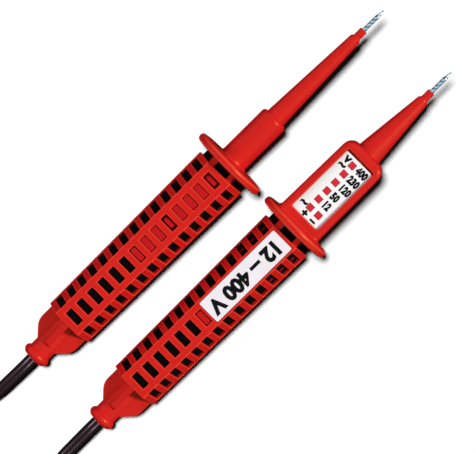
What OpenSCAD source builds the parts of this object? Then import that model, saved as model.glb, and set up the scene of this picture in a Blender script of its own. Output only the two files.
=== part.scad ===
// Two-pole voltage tester: a plain probe handle and a handle with a lamp display, joined by one
// double-insulated lead, which is wound into a coil behind them.
// The handles lie side by side on the plane z = 0, tips towards +X. Each rests on the rim of its
// hand guard and on the tail end of its grip, so its nose points up a little.
// In a handle's own frame x runs from the rear face of its tail plug to the tip of its pin,
// y runs across, and z = 0 is its axis. All sizes are in millimetres.

/* [Layout] */
// Distance between the axes of the two handles
handle_gap = 40.8; // [38:0.2:70]
// How far the display handle lies ahead of the plain one
handle_stagger = 1.0; // [0:0.5:20]

/* [Lead] */
// Outer diameter of the double-insulated lead
lead_d = 6.0; // [5:0.1:6.4]
// Diameter of the insulated conductor inside the lead
conductor_d = 3.0; // [2:0.1:4]
// Radius of the coil, to the middle of its turns
coil_r = 33; // [30:1:36]
// Turns beside each other, and on each other, in the coil's section
coil_side_turns = 2; // [1:1:3]
// Room that the wound turns take beyond their own diameters
coil_slack = 0.2; // [0.1:0.1:1]
// Width of the strap that ties the coil
tie_w = 9; // [5:1:16]
// Thickness of the strap that ties the coil
tie_t = 0.8; // [0.4:0.1:1.5]

/* [Tail plug] */
// Diameter of the bead round the lead's exit
collar_d = 13.0; // [11.5:0.1:15]
// Length of the bead
collar_len = 4.2; // [3.6:0.1:6]
// Diameter of the neck behind the bead
neck_d = 10.6; // [10:0.1:11.4]
// Length of the neck
neck_len = 4.2; // [3:0.1:8]
// Width across the two wings
fan_w = 21.6; // [18:0.1:23]
// Length of the wings, from the neck to the grip
fan_len = 14.3; // [12:0.1:20]
// Radius of the wings' round shoulders
fan_round = 7.0; // [4:0.1:8]
// Thickness of the wings at their middle
fan_mid = 5.8; // [5:0.1:8]
// Thickness of the wings at their edge
fan_edge = 3.4; // [2:0.1:4.6]
// Width of the upright rib
rib_w = 2.9; // [2:0.1:5]
// How far the rib stands out of the neck where it starts
rib_start = 1.6; // [0.8:0.1:3]
// Length of the plug's block inside the grip
block_len = 3.0; // [2:0.1:3.1]

/* [Grip] */
// Width of the grip at its tail end
grip_w_tail = 24.5; // [23.5:0.1:27]
// Width of the grip at its guard end
grip_w_front = 26.3; // [25:0.1:29]
// Height of the grip at its tail end
grip_h_tail = 22.4; // [21.6:0.1:25]
// Height of the grip at its guard end
grip_h_front = 24.0; // [22.5:0.1:27]
// Width of the flat strip along the top and the bottom
top_flat = 14.0; // [12.5:0.1:15.5]
// Thickness of the grip's wall
grip_wall = 2.0; // [1.6:0.1:2.6]
// Radius of the grip's long edges
grip_round = 0.8; // [0.4:0.1:1.6]
// Length of the closed band at the tail end
end_band = 3.2; // [3.2:0.1:6]
// Number of windows in each row
columns = 14; // [14:1:16]
// Length of a window, along the handle
window_len = 3.6; // [3:0.1:4.5]
// Width of a cross rib between two windows
cross_rib = 3.06; // [2.2:0.02:4]
// Width of the windows in the top and bottom rows
window_w = 7.7; // [6.6:0.1:9]
// Width of the side rails beside the windows, along the slope
side_rail = 1.4; // [1.1:0.1:2]
// Distance of a side window below the long edge of the flat strip
side_window_drop = 0.1; // [0.1:0.1:1]
// Corner radius of the windows
window_r = 0.4; // [0.2:0.1:0.8]
// Length of the set-back neck between the lattice and the guard
gap_len = 3.6; // [2.5:0.1:6]
// How far that neck is set back from the grip's surface
gap_inset = 1.2; // [0.8:0.1:1.6]

/* [Guard] */
// Diameter of the hand guard
guard_d = 36.7; // [34:0.1:38]
// Thickness of the neck's wall
neck_wall = 1.8; // [1.2:0.1:2.4]
// Thickness of the hand guard
guard_t = 3.6; // [3:0.1:6]
// Radius of the guard's rim
guard_round = 1.5; // [0.6:0.1:1.5]
// Radius of the fillet in front of the guard
guard_fillet = 1.9; // [1:0.1:3]

/* [Plain nose] */
// Diameter of the straight barrel
barrel_d = 13.4; // [12.6:0.1:16]
// Length of the straight barrel, in front of the guard
barrel_len = 25.6; // [20:0.2:34]
// Diameter at the root of the cone
plain_cone_d = 9.7; // [8:0.1:11]
// Length of the cone
plain_cone_len = 50.0; // [40:0.5:60]
// Diameter of the bore that takes the wire
barrel_bore = 9.2; // [7:0.1:9.6]
// Depth of that bore in front of the guard's rear face
barrel_bore_len = 18.0; // [12:0.5:22]

/* [Display nose] */
// Width of the display housing behind
housing_w = 23.4; // [21.5:0.1:25]
// Width of the display housing in front
housing_w_front = 22.3; // [21:0.1:25]
// Height of the display housing
housing_h = 21.0; // [19:0.1:24]
// Length of the display housing, in front of the guard
housing_len = 45.0; // [44:0.2:50]
// Radius of the housing's long edges
housing_edge = 2.6; // [1:0.1:3.4]
// Radius of the housing's front corners, seen from above
housing_corner = 5.2; // [3:0.1:6]
// Radius of the housing's front corners, seen from the side
housing_brow = 3.0; // [1.5:0.1:4]
// Diameter at the root of the cone
display_cone_d = 12.2; // [10:0.1:14]
// Length of the cone
display_cone_len = 33.6; // [28:0.2:40]

/* [Nose tip] */
// Diameter at the front end of both cones
cone_tip_d = 5.4; // [4.8:0.1:7]
// Length of the chamfer at the front end of both cones
cone_chamfer = 1.1; // [0.5:0.1:2]
// Diameter of the thin collar round the pin
tip_d = 3.7; // [3.2:0.1:4.6]
// Length of the thin collar round the pin
tip_len = 4.4; // [3:0.1:8]
// Edge break of the thin collar
tip_break = 0.3; // [0.1:0.1:0.5]

/* [Probe pin] */
// Diameter of the steel pin
pin_d = 2.0; // [1.6:0.1:2.4]
// Straight length of the pin outside the nose
pin_out = 8.4; // [6:0.1:20]
// Length of the pin's point
pin_point = 4.0; // [2:0.1:6]
// Diameter of the blunt end of the point
pin_end_d = 0.4; // [0.2:0.1:0.8]
// Diameter of the pin's root, which the nose holds
pin_root_d = 2.4; // [2.2:0.1:2.5]
// How far the root stands out of the nose's front end
pin_root_out = 0.4; // [0.2:0.1:1]
// Length of the plain pin behind the nose's front end
plain_pin_root = 70; // [50:1:72]

/* [Display] */
// Length of the display recess
recess_len = 36.0; // [35:0.1:37.5]
// Width of the display recess
recess_w = 16.0; // [15.4:0.1:17.5]
// Depth of the display recess, down to the panel
recess_depth = 1.4; // [1:0.1:3]
// Corner radius of the display recess
recess_r = 0.8; // [0.3:0.1:2]
// Distance of the recess from the guard
recess_start = 4.5; // [3:0.1:5.5]
// Thickness of the white display panel
panel_t = 1.2; // [0.8:0.1:2]
// Width of the ledge that carries the panel
panel_ledge = 0.8; // [0.4:0.1:1]
// Side of a square lamp
led_side = 3.0; // [2.4:0.1:3.6]
// Distance of the first lamps from the rear end of the recess
led_start = 5.2; // [3:0.1:6]
// Distance of the last lamp from the front end of the recess
led_end = 4.5; // [3:0.1:6]
// Distance of the long row of lamps from the middle of the panel
led_row_y = 1.5; // [0.4:0.1:2]
// Distance of the single lamp from the middle of the panel
led_single_y = 3.6; // [3:0.1:5]
// How far the lamps stand out of the panel
led_proud = 0.2; // [0:0.1:0.6]
// Thickness of the circuit board
board_t = 1.6; // [0.8:0.1:2]
// Height of the circuit board's underside over the handle's axis
board_lift = 0.6; // [0.5:0.1:1.5]

// Diameter of the contact between the board and the pin
contact_d = 3.8; // [3:0.1:5]
// Length of that contact
contact_len = 5.0; // [3:0.5:7]

/* [Name plate] */
// Length of the white plate on the grip
plate_len = 46.8; // [40:0.1:47]
// Width of the white plate
plate_w = 11.7; // [9:0.1:12]
// Thickness of the white plate
plate_t = 1.0; // [0.6:0.1:1.4]
// Corner radius of the white plate
plate_r = 0.7; // [0.3:0.1:2]
// How far the plate stands out of the grip
plate_proud = 0.1; // [0:0.05:0.3]
// Distance of the plate from that window
plate_gap = 1.2; // [0.9:0.1:1.4]

/* [Inner pieces] */
// Clearance between a piece and the pocket or bore that holds it
fit = 0.2; // [0.1:0.05:0.3]
// Outer diameter of the crimped ring on the lead
clamp_d = 8.2; // [7.4:0.1:8.6]
// Length of the crimped ring
clamp_len = 5.0; // [3:0.1:8]
// Depth of its pocket, behind the grip
clamp_pocket = 10.0; // [8.5:0.1:11]
// Diameter of the ferrule that joins the conductor and the resistor
ferrule_d = 5.4; // [4.4:0.1:6]
// Length of the ferrule
ferrule_len = 8.0; // [5:0.1:10]
// Diameter of the protection resistor
resistor_d = 5.4; // [4:0.1:6]
// Length of the protection resistor
resistor_len = 18.0; // [12:0.5:22]
// Length of the resistor's rear wire
resistor_leg = 16.0; // [8:0.5:20]
// Diameter of the resistor's wires
wire_d = 0.8; // [0.6:0.05:1]
// How far the conductor reaches into the carrier
conductor_in = 3.0; // [2:0.1:5]
// Distance of the carriers' rear end from the first window they fill
carrier_margin = 1.0; // [0.5:0.1:2]
// Distance of the carriers' front end from the grip's
carrier_end = 1.6; // [1:0.1:3]
// Gap that shows round the first pad of the carriers
key_gap = 0.45; // [0.3:0.05:0.8]
// How far the other pads lie below the grip's surface
pad_drop = 0.9; // [0.4:0.1:1.6]
// Thickness of the carriers' sides and floor round their bore
carrier_wall = 1.4; // [1:0.1:1.8]
// Height of the display carrier's side teeth over the handle's axis
tooth_top = 3.2; // [2:0.1:3.4]
// Thickness of those teeth
tooth_t = 2.0; // [1:0.1:3]
// Length of those teeth
tooth_len = 2.2; // [1:0.1:3]
// Windows from the guard that show a tooth
tooth_windows = 3; // [0:1:5]

/* [Hidden] */
// Window from the tail after which the plate begins
plate_after = 7;
$fn = 64;

body_red = [0.86, 0.13, 0.09];
lead_black = [0.06, 0.06, 0.07];
panel_white = [0.95, 0.95, 0.96];
lamp_red = [0.84, 0.12, 0.2];
steel = [0.72, 0.75, 0.79];
brass_yellow = [0.8, 0.65, 0.3];

// Stations along a handle
neck_x = collar_len;
fan_x = neck_x + neck_len;
grip_x = fan_x + fan_len;
window_x = grip_x + end_band;
pitch = window_len + cross_rib;
lattice_x = window_x + columns * pitch;
guard_x = lattice_x + gap_len;
nose_x = guard_x + guard_t;
plain_cone_x = nose_x + barrel_len + (barrel_d - plain_cone_d) / 2;
display_cone_x = nose_x + housing_len;
plain_tip_x = plain_cone_x + plain_cone_len + cone_chamfer;
display_tip_x = display_cone_x + display_cone_len + cone_chamfer;
plain_end_x = plain_tip_x + tip_len + pin_out + pin_point;
display_end_x = display_tip_x + tip_len + pin_out + pin_point;
recess_x = nose_x + recess_start;
display_contact_x = recess_x + recess_len - 2 * panel_ledge + fit;
display_pin_root = display_tip_x + tip_len - display_contact_x;
carrier_x = window_start(plate_after - 1) - carrier_margin;
carrier_end_x = lattice_x - carrier_end;
liner_x = grip_x + block_len + fit;
plate_x = window_start(plate_after - 1) + window_len + plate_gap;

// Steps of an arc in the grip's corners and in the wings' shoulders, and a margin that lets a cut
// pass right through
corner_steps = 2;
shoulder_steps = 6;
through = 1;
// A radius too small to see, and the flat that a catch keeps between its round ends
sharp_r = 0.01;
round_ease = 0.1;
// Lamps in the long row
row_leds = 6;

// Sizes that follow from the ones above
panel_top = housing_h / 2 - recess_depth;
panel_bottom = panel_top - panel_t;
led_pitch = (recess_len - led_start - led_end) / (row_leds - 1);
chamber_w = recess_w - 2 * panel_ledge;
chamber_len = recess_len - 2 * panel_ledge;
board_w = chamber_w - 2 * fit;
carrier_top = grip_h(carrier_x) / 2 - grip_wall - fit;
catch_r = window_len / 2 - key_gap - round_ease;
carrier_bore = max(ferrule_d, resistor_d) + 2 * fit;
carrier_w = carrier_bore + 2 * carrier_wall;
conductor_end = carrier_x + conductor_in;
ferrule_x = conductor_end - ferrule_len / 4;
resistor_x = ferrule_x + ferrule_len + resistor_leg - ferrule_len / 4;
cavity_end_x = guard_x + guard_t / 3;
tooth_span = 2 * (inner_half(window_start(columns - tooth_windows), tooth_top, grip_wall) - 3 * fit);

// Rest: the tail end of the grip's bottom and the guard's round rim both touch the floor
rim_x = guard_x + guard_round - grip_x;
rim_drop = guard_d / 2 - guard_round - grip_h_tail / 2;
nose_up = atan2(rim_drop, rim_x) + asin(guard_round / norm([rim_x, rim_drop]));
axis_lift = grip_h_tail / 2 * cos(nose_up) - grip_x * sin(nose_up);
bead_face_r = (collar_d - collar_len) / 2;
back_reach = collar_len / 2 * (cos(nose_up) - 1) - bead_face_r * sin(nose_up);
front_reach = max(plain_end_x * cos(nose_up), handle_stagger + display_end_x * cos(nose_up))
    + pin_end_d / 2 * sin(nose_up);
middle_x = (back_reach + front_reach) / 2;

// The lead's route outside the handles. Its first two points follow the tail plug, and its last
// two the straight end of the coil. Those between are chosen by hand.
coil_at = [-196, 0];
join_angle = 76;
join_run = 26;
exit_run = 5;
plain_exit = [-middle_x, handle_gap / 2, axis_lift];
display_exit = [handle_stagger - middle_x, -handle_gap / 2, axis_lift];
back = [-cos(nose_up), 0, -sin(nose_up)];
plain_route = concat(
    [plain_exit, plain_exit + exit_run * back],
    [[-125, 20.5, 8.2], [-134, 20.8, 6.8], [-143, 22.4, 5.4], [-151, 24.6, 4.4]],
    [join_point(1, join_run + exit_run), join_point(1, join_run)]
);
display_route = concat(
    [display_exit, display_exit + exit_run * back],
    [[-125, -20.5, 8.1], [-134, -20.8, 7.3], [-143, -22.4, 7.6], [-151, -24.6, 8.8]],
    [join_point(-1, join_run + exit_run), join_point(-1, join_run)]
);
tube_sides = 10;

// Point on the coil's straight end, at a distance from where it leaves the outer turn.
// The end for the plain handle (side 1) lies in the bottom layer, the other (-1) in the top one.
function join_point(side, run) = let (
        r = coil_r + (coil_side_turns - 1) * lead_d / 2,
        layer = side > 0 ? 0.5 : coil_side_turns - 0.5
    ) [coil_at.x + r * cos(join_angle) + run * sin(join_angle),
       coil_at.y + side * (r * sin(join_angle) - run * cos(join_angle)),
       tie_t + coil_slack / 2 + layer * lead_d];

// Position of the window with the given number, counted from 0 at the tail
function window_start(i) = window_x + i * pitch;

// Width and height of the tapered grip at a station
function grip_share(x) = (x - grip_x) / (lattice_x - grip_x);
function grip_w(x) = grip_w_tail + (grip_w_front - grip_w_tail) * grip_share(x);
function grip_h(x) = grip_h_tail + (grip_h_front - grip_h_tail) * grip_share(x);
top_slope = atan2((grip_h_front - grip_h_tail) / 2, lattice_x - grip_x);

// The grip's section is a hexagon: a flat strip above and below, and two slopes on each side.
// Distance of a slope from the axis
function slope_reach(x) = let (b = grip_h(x) / 2, a = (grip_w(x) - top_flat) / 2)
    b * grip_w(x) / 2 / norm([a, b]);
// Half width inside the wall at height z
function inner_half(x, z, wall) = let (b = grip_h(x) / 2, a = (grip_w(x) - top_flat) / 2)
    ((slope_reach(x) - wall) * norm([a, b]) - a * z) / b;
// Length of a slope
function slope_len(x) = norm([grip_h(x) / 2, (grip_w(x) - top_flat) / 2]);
// Angle of a slope below the horizontal
function slope_angle(x) = atan2(grip_h(x) / 2, (grip_w(x) - top_flat) / 2);

// The six corners of the section at a station, set back by inset, as points across and up
function hex_corners(x, inset) = let (
        up = grip_h(x) / 2 - inset,
        side = inner_half(x, 0, inset),
        flat = inner_half(x, up, inset)
    ) [[side, 0], [flat, up], [-flat, up], [-side, 0], [-flat, -up], [flat, -up]];

// An arc of radius r in the corner b between the points a and c, in a number of steps
function corner_arc(a, b, c, r, steps) = let (
        u = (a - b) / norm(a - b),
        v = (c - b) / norm(c - b),
        half = acos(u * v) / 2,
        middle = b + (u + v) / norm(u + v) * r / sin(half),
        from = b + u * r / tan(half) - middle,
        start = atan2(from.y, from.x)
    ) [for (i = [0:steps])
        middle + r * [cos(start + i * (180 - 2 * half) / steps),
                      sin(start + i * (180 - 2 * half) / steps)]];

// Outline of the section with round corners
function hex_outline(x, inset, r) = let (p = hex_corners(x, inset)) r == 0
    ? p
    : [for (i = [0:5]) each corner_arc(p[(i + 5) % 6], p[i], p[(i + 1) % 6], r, corner_steps)];

// Tapered bar with the grip's section, from x0 to x1
module hex_loft(x0, x1, inset, r) {
    first = hex_outline(x0, inset, r);
    last = hex_outline(x1, inset, r);
    n = len(first);
    polyhedron(
        points = concat([for (p = first) [x0, p.x, p.y]], [for (p = last) [x1, p.x, p.y]]),
        faces = concat(
            [[for (i = [0:n - 1]) i], [for (i = [n - 1:-1:0]) n + i]],
            [for (i = [0:n - 1]) [n + i, n + (i + 1) % n, (i + 1) % n, i]]
        )
    );
}

// Rectangle with round corners, centred
module round_rect(l, w, r) {
    square([l - 2 * r, w], center = true);
    square([l, w - 2 * r], center = true);
    for (sx = [-1, 1], sy = [-1, 1])
        translate([sx * (l / 2 - r), sy * (w / 2 - r)]) circle(r = r);
}

// A profile drawn along x, with its radius upwards, turned round the handle's axis
module turned() {
    rotate([90, 0, 90]) rotate_extrude() rotate(90) mirror([0, 1]) children();
}

// A round bar or bore on the handle's axis
module axis_bar(x0, x1, d) {
    translate([x0, 0, 0]) rotate([0, 90, 0]) cylinder(d = d, h = x1 - x0);
}

// The place of each handle on the floor
module plain_place() {
    translate([-middle_x, handle_gap / 2, axis_lift]) rotate([0, -nose_up, 0]) children();
}
module display_place() {
    translate([handle_stagger - middle_x, -handle_gap / 2, axis_lift])
        rotate([0, -nose_up, 0]) children();
}

// A frame that lies on the grip's top at a station and follows its taper
module on_top(x) {
    translate([x, 0, grip_h(x) / 2]) rotate([0, -top_slope, 0]) children();
}

// Windows of the top and bottom rows: right through, or through the bottom wall alone
module flat_window(i, from_z) {
    translate([window_start(i) + window_len / 2, 0, -grip_h_front])
        linear_extrude(from_z + grip_h_front) round_rect(window_len, window_w, window_r);
}

// One window in each of the four slopes. Its side next to the flat strip is upright.
module slope_windows(x, l, r) {
    w = slope_len(x) - side_rail;
    for (my = [0, 1], mz = [0, 1]) mirror([0, my, 0]) mirror([0, 0, mz]) intersection() {
        translate([x + l / 2, top_flat / 2, grip_h(x) / 2]) rotate([-slope_angle(x), 0, 0])
            translate([0, w / 2 - through, -grip_wall - 2 * through])
                linear_extrude(grip_wall + 3 * through) round_rect(l, w + 2 * through, r);
        translate([x, top_flat / 2 + side_window_drop, 0])
            cube([l, grip_w_front, grip_h_front]);
    }
}

// The lattice grip with its set-back neck. The top row stops at top_windows.
module lattice_grip(top_windows) {
    difference() {
        union() {
            hex_loft(grip_x, lattice_x, 0, grip_round);
            hex_loft(lattice_x, guard_x, gap_inset, grip_round);
        }
        for (i = [0:columns - 1]) {
            flat_window(i, i < top_windows ? grip_h_front : 0);
            slope_windows(window_start(i), window_len, window_r);
        }
        translate([lattice_x, -window_w / 2, -grip_h_front])
            cube([gap_len, window_w, 2 * grip_h_front]);
        slope_windows(lattice_x, gap_len, sharp_r);
    }
}

// Hollow of the grip, its neck and the guard's rear face
module grip_cavity() {
    hex_loft(grip_x - through, lattice_x, grip_wall, 0);
    hex_loft(lattice_x - through, cavity_end_x, gap_inset + neck_wall, 0);
}

// Profile of the round hand guard
module guard_profile() {
    translate([guard_x, 0]) square([guard_t, guard_d / 2 - guard_round]);
    translate([guard_x + guard_round, 0]) square([guard_t - 2 * guard_round, guard_d / 2]);
    for (x = [guard_round, guard_t - guard_round])
        translate([guard_x + x, guard_d / 2 - guard_round]) intersection() {
            circle(r = guard_round);
            translate([-guard_round, -guard_round]) square(2 * guard_round);
        }
}

// Profile of a cone with its chamfer and the thin collar round the pin
module cone_profile(x, root_d, l) {
    tip_x = x + l + cone_chamfer;
    polygon([
        [x, 0], [x, root_d / 2], [x + l, cone_tip_d / 2], [tip_x, tip_d / 2],
        [tip_x + tip_len - tip_break, tip_d / 2], [tip_x + tip_len, tip_d / 2 - tip_break],
        [tip_x + tip_len, 0]
    ]);
}

// Profile of the plain nose: fillet, barrel, round shoulder and cone
module plain_nose_profile() {
    shoulder = (barrel_d - plain_cone_d) / 2;
    difference() {
        translate([nose_x, 0]) square([guard_fillet, barrel_d / 2 + guard_fillet]);
        translate([nose_x + guard_fillet, barrel_d / 2 + guard_fillet]) circle(r = guard_fillet);
    }
    translate([nose_x, 0]) square([barrel_len, barrel_d / 2]);
    translate([nose_x + barrel_len, 0]) square([shoulder, plain_cone_d / 2]);
    translate([nose_x + barrel_len, plain_cone_d / 2]) intersection() {
        circle(r = shoulder);
        square(shoulder);
    }
    cone_profile(plain_cone_x, plain_cone_d, plain_cone_len);
}

// Bore of the nose that holds the pin, from the nose's front end
module pin_bore(front_x, root) {
    axis_bar(front_x - root - fit, front_x + through, pin_root_d + fit / 2);
}

// Shell of the plain handle: lattice grip, guard and nose in one moulding
module plain_shell() color(body_red) plain_place() difference() {
    union() {
        lattice_grip(columns);
        turned() {
            guard_profile();
            plain_nose_profile();
        }
    }
    grip_cavity();
    axis_bar(guard_x, guard_x + barrel_bore_len, barrel_bore);
    pin_bore(plain_tip_x + tip_len, plain_pin_root);
}

// Outline of the display housing seen from above
module housing_plan() {
    w0 = housing_w / 2;
    w1 = housing_w_front / 2;
    l = housing_len;
    polygon([
        [0, w0], [l - housing_corner, w1], [l - housing_corner, w1 - housing_corner],
        [l, w1 - housing_corner], [l, housing_corner - w1],
        [l - housing_corner, housing_corner - w1], [l - housing_corner, -w1], [0, -w0]
    ]);
    for (s = [-1, 1]) translate([l - housing_corner, s * (w1 - housing_corner)])
        circle(r = housing_corner);
}

// Outline of the display housing seen from the side
module housing_side() {
    square([housing_len - housing_brow, housing_h]);
    translate([0, housing_brow]) square([housing_len, housing_h - 2 * housing_brow]);
    for (z = [housing_brow, housing_h - housing_brow])
        translate([housing_len - housing_brow, z]) circle(r = housing_brow);
}

// The display housing: what its plan, its side view and its section have in common
module display_housing() {
    translate([nose_x, 0, 0]) intersection() {
        translate([0, 0, -housing_h / 2]) linear_extrude(housing_h) housing_plan();
        translate([0, housing_w / 2, -housing_h / 2]) rotate([90, 0, 0])
            linear_extrude(housing_w) housing_side();
        rotate([90, 0, 90]) linear_extrude(housing_len)
            round_rect(housing_w, housing_h, housing_edge);
    }
}

// Shell of the display handle: lattice grip, guard, display housing and cone in one moulding
module display_shell() color(body_red) display_place() difference() {
    union() {
        lattice_grip(plate_after);
        turned() {
            guard_profile();
            cone_profile(display_cone_x - through, display_cone_d, display_cone_len + through);
        }
        display_housing();
        difference() {
            translate([nose_x + guard_fillet / 2, 0, 0])
                cube([guard_fillet, housing_w + guard_fillet, housing_h - 2 * housing_edge],
                    center = true);
            for (s = [-1, 1]) translate([
                nose_x + guard_fillet, s * (housing_w / 2 + guard_fillet), -housing_h / 2
            ]) cylinder(r = guard_fillet, h = housing_h);
        }
    }
    grip_cavity();
    on_top(plate_x + plate_len / 2) translate([0, 0, plate_proud - plate_t - fit / 2])
        linear_extrude(grip_wall) round_rect(plate_len + fit, plate_w + fit, plate_r + fit / 2);
    translate([recess_x + recess_len / 2, 0, panel_bottom])
        linear_extrude(housing_h) round_rect(recess_len, recess_w, recess_r);
    translate([guard_x, -chamber_w / 2, board_lift - led_side])
        cube([recess_x + recess_len - panel_ledge - guard_x, chamber_w,
            panel_bottom - board_lift + led_side]);
    axis_bar(recess_x + recess_len - 2 * panel_ledge, display_contact_x + contact_len + fit,
        contact_d + 2 * fit);
    pin_bore(display_tip_x + tip_len, display_pin_root);
}

// Plan of the two wings of the tail plug: slanted sides, round shoulders and straight flanks
module wings_plan() {
    foot = [fan_x - neck_d / 2, 0];
    shoulder = [fan_x + (fan_w - neck_d) / 2, fan_w / 2];
    mouth = [grip_x, fan_w / 2];
    arc = corner_arc(mouth, shoulder, foot, fan_round, shoulder_steps);
    n = len(arc) - 1;
    polygon(concat([foot], [for (i = [0:n]) [arc[n - i].x, -arc[n - i].y]],
        [[mouth.x, -mouth.y], mouth], arc));
}

// Section of the wings: flat over the neck, thinner towards the edges
module wings_section() {
    polygon([for (q = [[1, 1], [-1, 1], [-1, -1], [1, -1]]) each (q.x * q.y > 0
        ? [[q.x * fan_w / 2, q.y * fan_edge / 2], [q.x * neck_d / 2, q.y * fan_mid / 2]]
        : [[q.x * neck_d / 2, q.y * fan_mid / 2], [q.x * fan_w / 2, q.y * fan_edge / 2]])]);
}

// Upright rib above and below the neck
module rib_side() {
    for (s = [0, 1]) mirror([0, s]) polygon([
        [fan_x, 0], [fan_x, neck_d / 2 - rib_start / 2], [fan_x + rib_start, neck_d / 2 + rib_start],
        [grip_x, grip_h_tail / 2], [grip_x, 0]
    ]);
}

// Tail plug: bead, neck, two domed wings, upright rib and the block that closes the grip
module tail_plug() {
    bead_r = collar_len / 2;
    difference() {
        union() {
            turned() {
                square([grip_x, neck_d / 2]);
                square([collar_len, collar_d / 2 - bead_r]);
                translate([bead_r, collar_d / 2 - bead_r]) circle(r = bead_r);
            }
            intersection() {
                translate([0, 0, -fan_mid]) linear_extrude(2 * fan_mid) wings_plan();
                rotate([90, 0, 90]) linear_extrude(grip_x) wings_section();
            }
            translate([0, rib_w / 2, 0]) rotate([90, 0, 0]) linear_extrude(rib_w) rib_side();
            translate([grip_x, 0, 0]) rotate([90, 0, 90]) linear_extrude(block_len)
                polygon(hex_outline(grip_x, grip_wall + fit, 0));
        }
        axis_bar(-through, grip_x + block_len + through, lead_d + fit);
        axis_bar(grip_x - clamp_pocket, grip_x + block_len + through, clamp_d + fit);
    }
}
module plain_tail_plug() color(body_red) plain_place() tail_plug();
module display_tail_plug() color(body_red) display_place() tail_plug();

// Black insulating lining of the grip, with a channel from above for the carrier
module liner() difference() {
    union() {
        hex_loft(liner_x, lattice_x - fit, grip_wall + fit, 0);
        hex_loft(lattice_x - through, cavity_end_x - fit, gap_inset + neck_wall + fit, 0);
    }
    axis_bar(liner_x - through, carrier_x + through, lead_d + 2 * fit);
    axis_bar(carrier_x, cavity_end_x + through, carrier_bore);
    translate([carrier_x - fit, -carrier_w / 2 - fit, -carrier_w / 2 - fit])
        cube([carrier_end_x - carrier_x + 2 * fit, carrier_w + 2 * fit, grip_h_front]);
}
module plain_liner() color(lead_black) plain_place() liner();
module display_liner() color(lead_black) display_place() difference() {
    liner();
    carrier_teeth(fit);
}

// Pad of a carrier that shows in a top window
module pad(i, gap, drop, r) {
    x = window_start(i) + window_len / 2;
    translate([x, 0, 0]) linear_extrude(grip_h(x) / 2 - drop)
        round_rect(window_len - 2 * gap, window_w - 2 * gap, r);
}

// Carrier block with the bore for the ferrule and the resistor
module carrier_block() {
    translate([carrier_x, -carrier_w / 2, -carrier_w / 2])
        cube([carrier_end_x - carrier_x, carrier_w, carrier_w / 2 + carrier_top]);
    pad(plate_after - 1, key_gap, key_gap, 2 * window_r);
}

// Carrier of the plain handle, with a pad or a round catch in each window as far as the guard
module plain_carrier() color(body_red) plain_place() difference() {
    union() {
        carrier_block();
        for (i = [plate_after:columns - 1])
            if ((i - plate_after) % 4 == 2) pad(i, key_gap, 2 * pad_drop, catch_r);
            else pad(i, fit, pad_drop, window_r);
    }
    axis_bar(carrier_x - through, carrier_end_x + through, carrier_bore);
}

// Side teeth of the display carrier, which show in the side windows by the guard
module carrier_teeth(gap) {
    for (i = [columns - tooth_windows:columns - 1])
        translate([window_start(i) + window_len - tooth_len, 0, tooth_top - tooth_t / 2])
            cube([tooth_len + 2 * gap, tooth_span + 2 * gap, tooth_t + 2 * gap], center = true);
}

// Carrier of the display handle: no pads under the plate, but teeth on its sides
module display_carrier() color(body_red) display_place() difference() {
    union() {
        carrier_block();
        carrier_teeth(0);
    }
    axis_bar(carrier_x - through, carrier_end_x + through, carrier_bore);
}

// End of the lead inside a handle: the jacket, then the insulated conductor
module lead_end() {
    axis_bar(0, carrier_x - fit, lead_d);
    axis_bar(carrier_x - fit, conductor_end, conductor_d);
}
module plain_lead_end() color(lead_black) plain_place() lead_end();
module display_lead_end() color(lead_black) display_place() lead_end();

// Crimped ring that keeps the lead from being pulled out
module cable_clamp() {
    start = grip_x - clamp_pocket + fit;
    difference() {
        axis_bar(start, start + clamp_len, clamp_d);
        axis_bar(start - through, start + clamp_len + through, lead_d);
    }
}
module plain_cable_clamp() color(steel) plain_place() cable_clamp();
module display_cable_clamp() color(steel) display_place() cable_clamp();

// Ferrule crimped over the conductor and the resistor's wire
module ferrule() {
    difference() {
        axis_bar(ferrule_x, ferrule_x + ferrule_len, ferrule_d);
        axis_bar(ferrule_x - through, conductor_end, conductor_d);
        axis_bar(conductor_end, ferrule_x + ferrule_len + through, wire_d);
    }
}
module plain_ferrule() color(brass_yellow) plain_place() ferrule();
module display_ferrule() color(brass_yellow) display_place() ferrule();

// Protection resistor with its two wires
module resistor(end_x) {
    axis_bar(conductor_end, resistor_x, wire_d);
    axis_bar(resistor_x, resistor_x + resistor_len, resistor_d);
    axis_bar(resistor_x + resistor_len, end_x, wire_d);
}
module plain_resistor() color("tan") plain_place() resistor(plain_tip_x + tip_len - plain_pin_root);
module display_resistor() color("tan") display_place() resistor(recess_x);

// Steel probe pin, from its root inside the nose to its point
module probe_pin(front_x, root) {
    axis_bar(front_x - root, front_x + pin_root_out, pin_root_d);
    axis_bar(front_x + pin_root_out, front_x + pin_out, pin_d);
    translate([front_x + pin_out, 0, 0]) rotate([0, 90, 0])
        cylinder(d1 = pin_d, d2 = pin_end_d, h = pin_point);
}
module plain_probe_pin() color(steel) plain_place() probe_pin(plain_tip_x + tip_len, plain_pin_root);
module display_probe_pin() color(steel) display_place()
    probe_pin(display_tip_x + tip_len, display_pin_root);

// White plate in its recess on the display handle's grip
module name_plate() color(panel_white) display_place()
    on_top(plate_x + plate_len / 2) translate([0, 0, plate_proud - plate_t])
        linear_extrude(plate_t) round_rect(plate_len, plate_w, plate_r);

// Places of the lamps: numbers 0 to 5 are the long row, number 6 stands beside the first
function led_at(i) = i < row_leds
    ? [recess_x + led_start + i * led_pitch, led_row_y]
    : [recess_x + led_start, -led_single_y];

// White panel at the bottom of the display recess
module display_panel() color(panel_white) display_place() difference() {
    translate([recess_x + recess_len / 2, 0, panel_bottom])
        linear_extrude(panel_t) round_rect(recess_len - fit, recess_w - fit, recess_r);
    for (i = [0:6]) translate([led_at(i).x, led_at(i).y, panel_bottom - through])
        linear_extrude(panel_t + 2 * through) square(led_side + fit, center = true);
}

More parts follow.
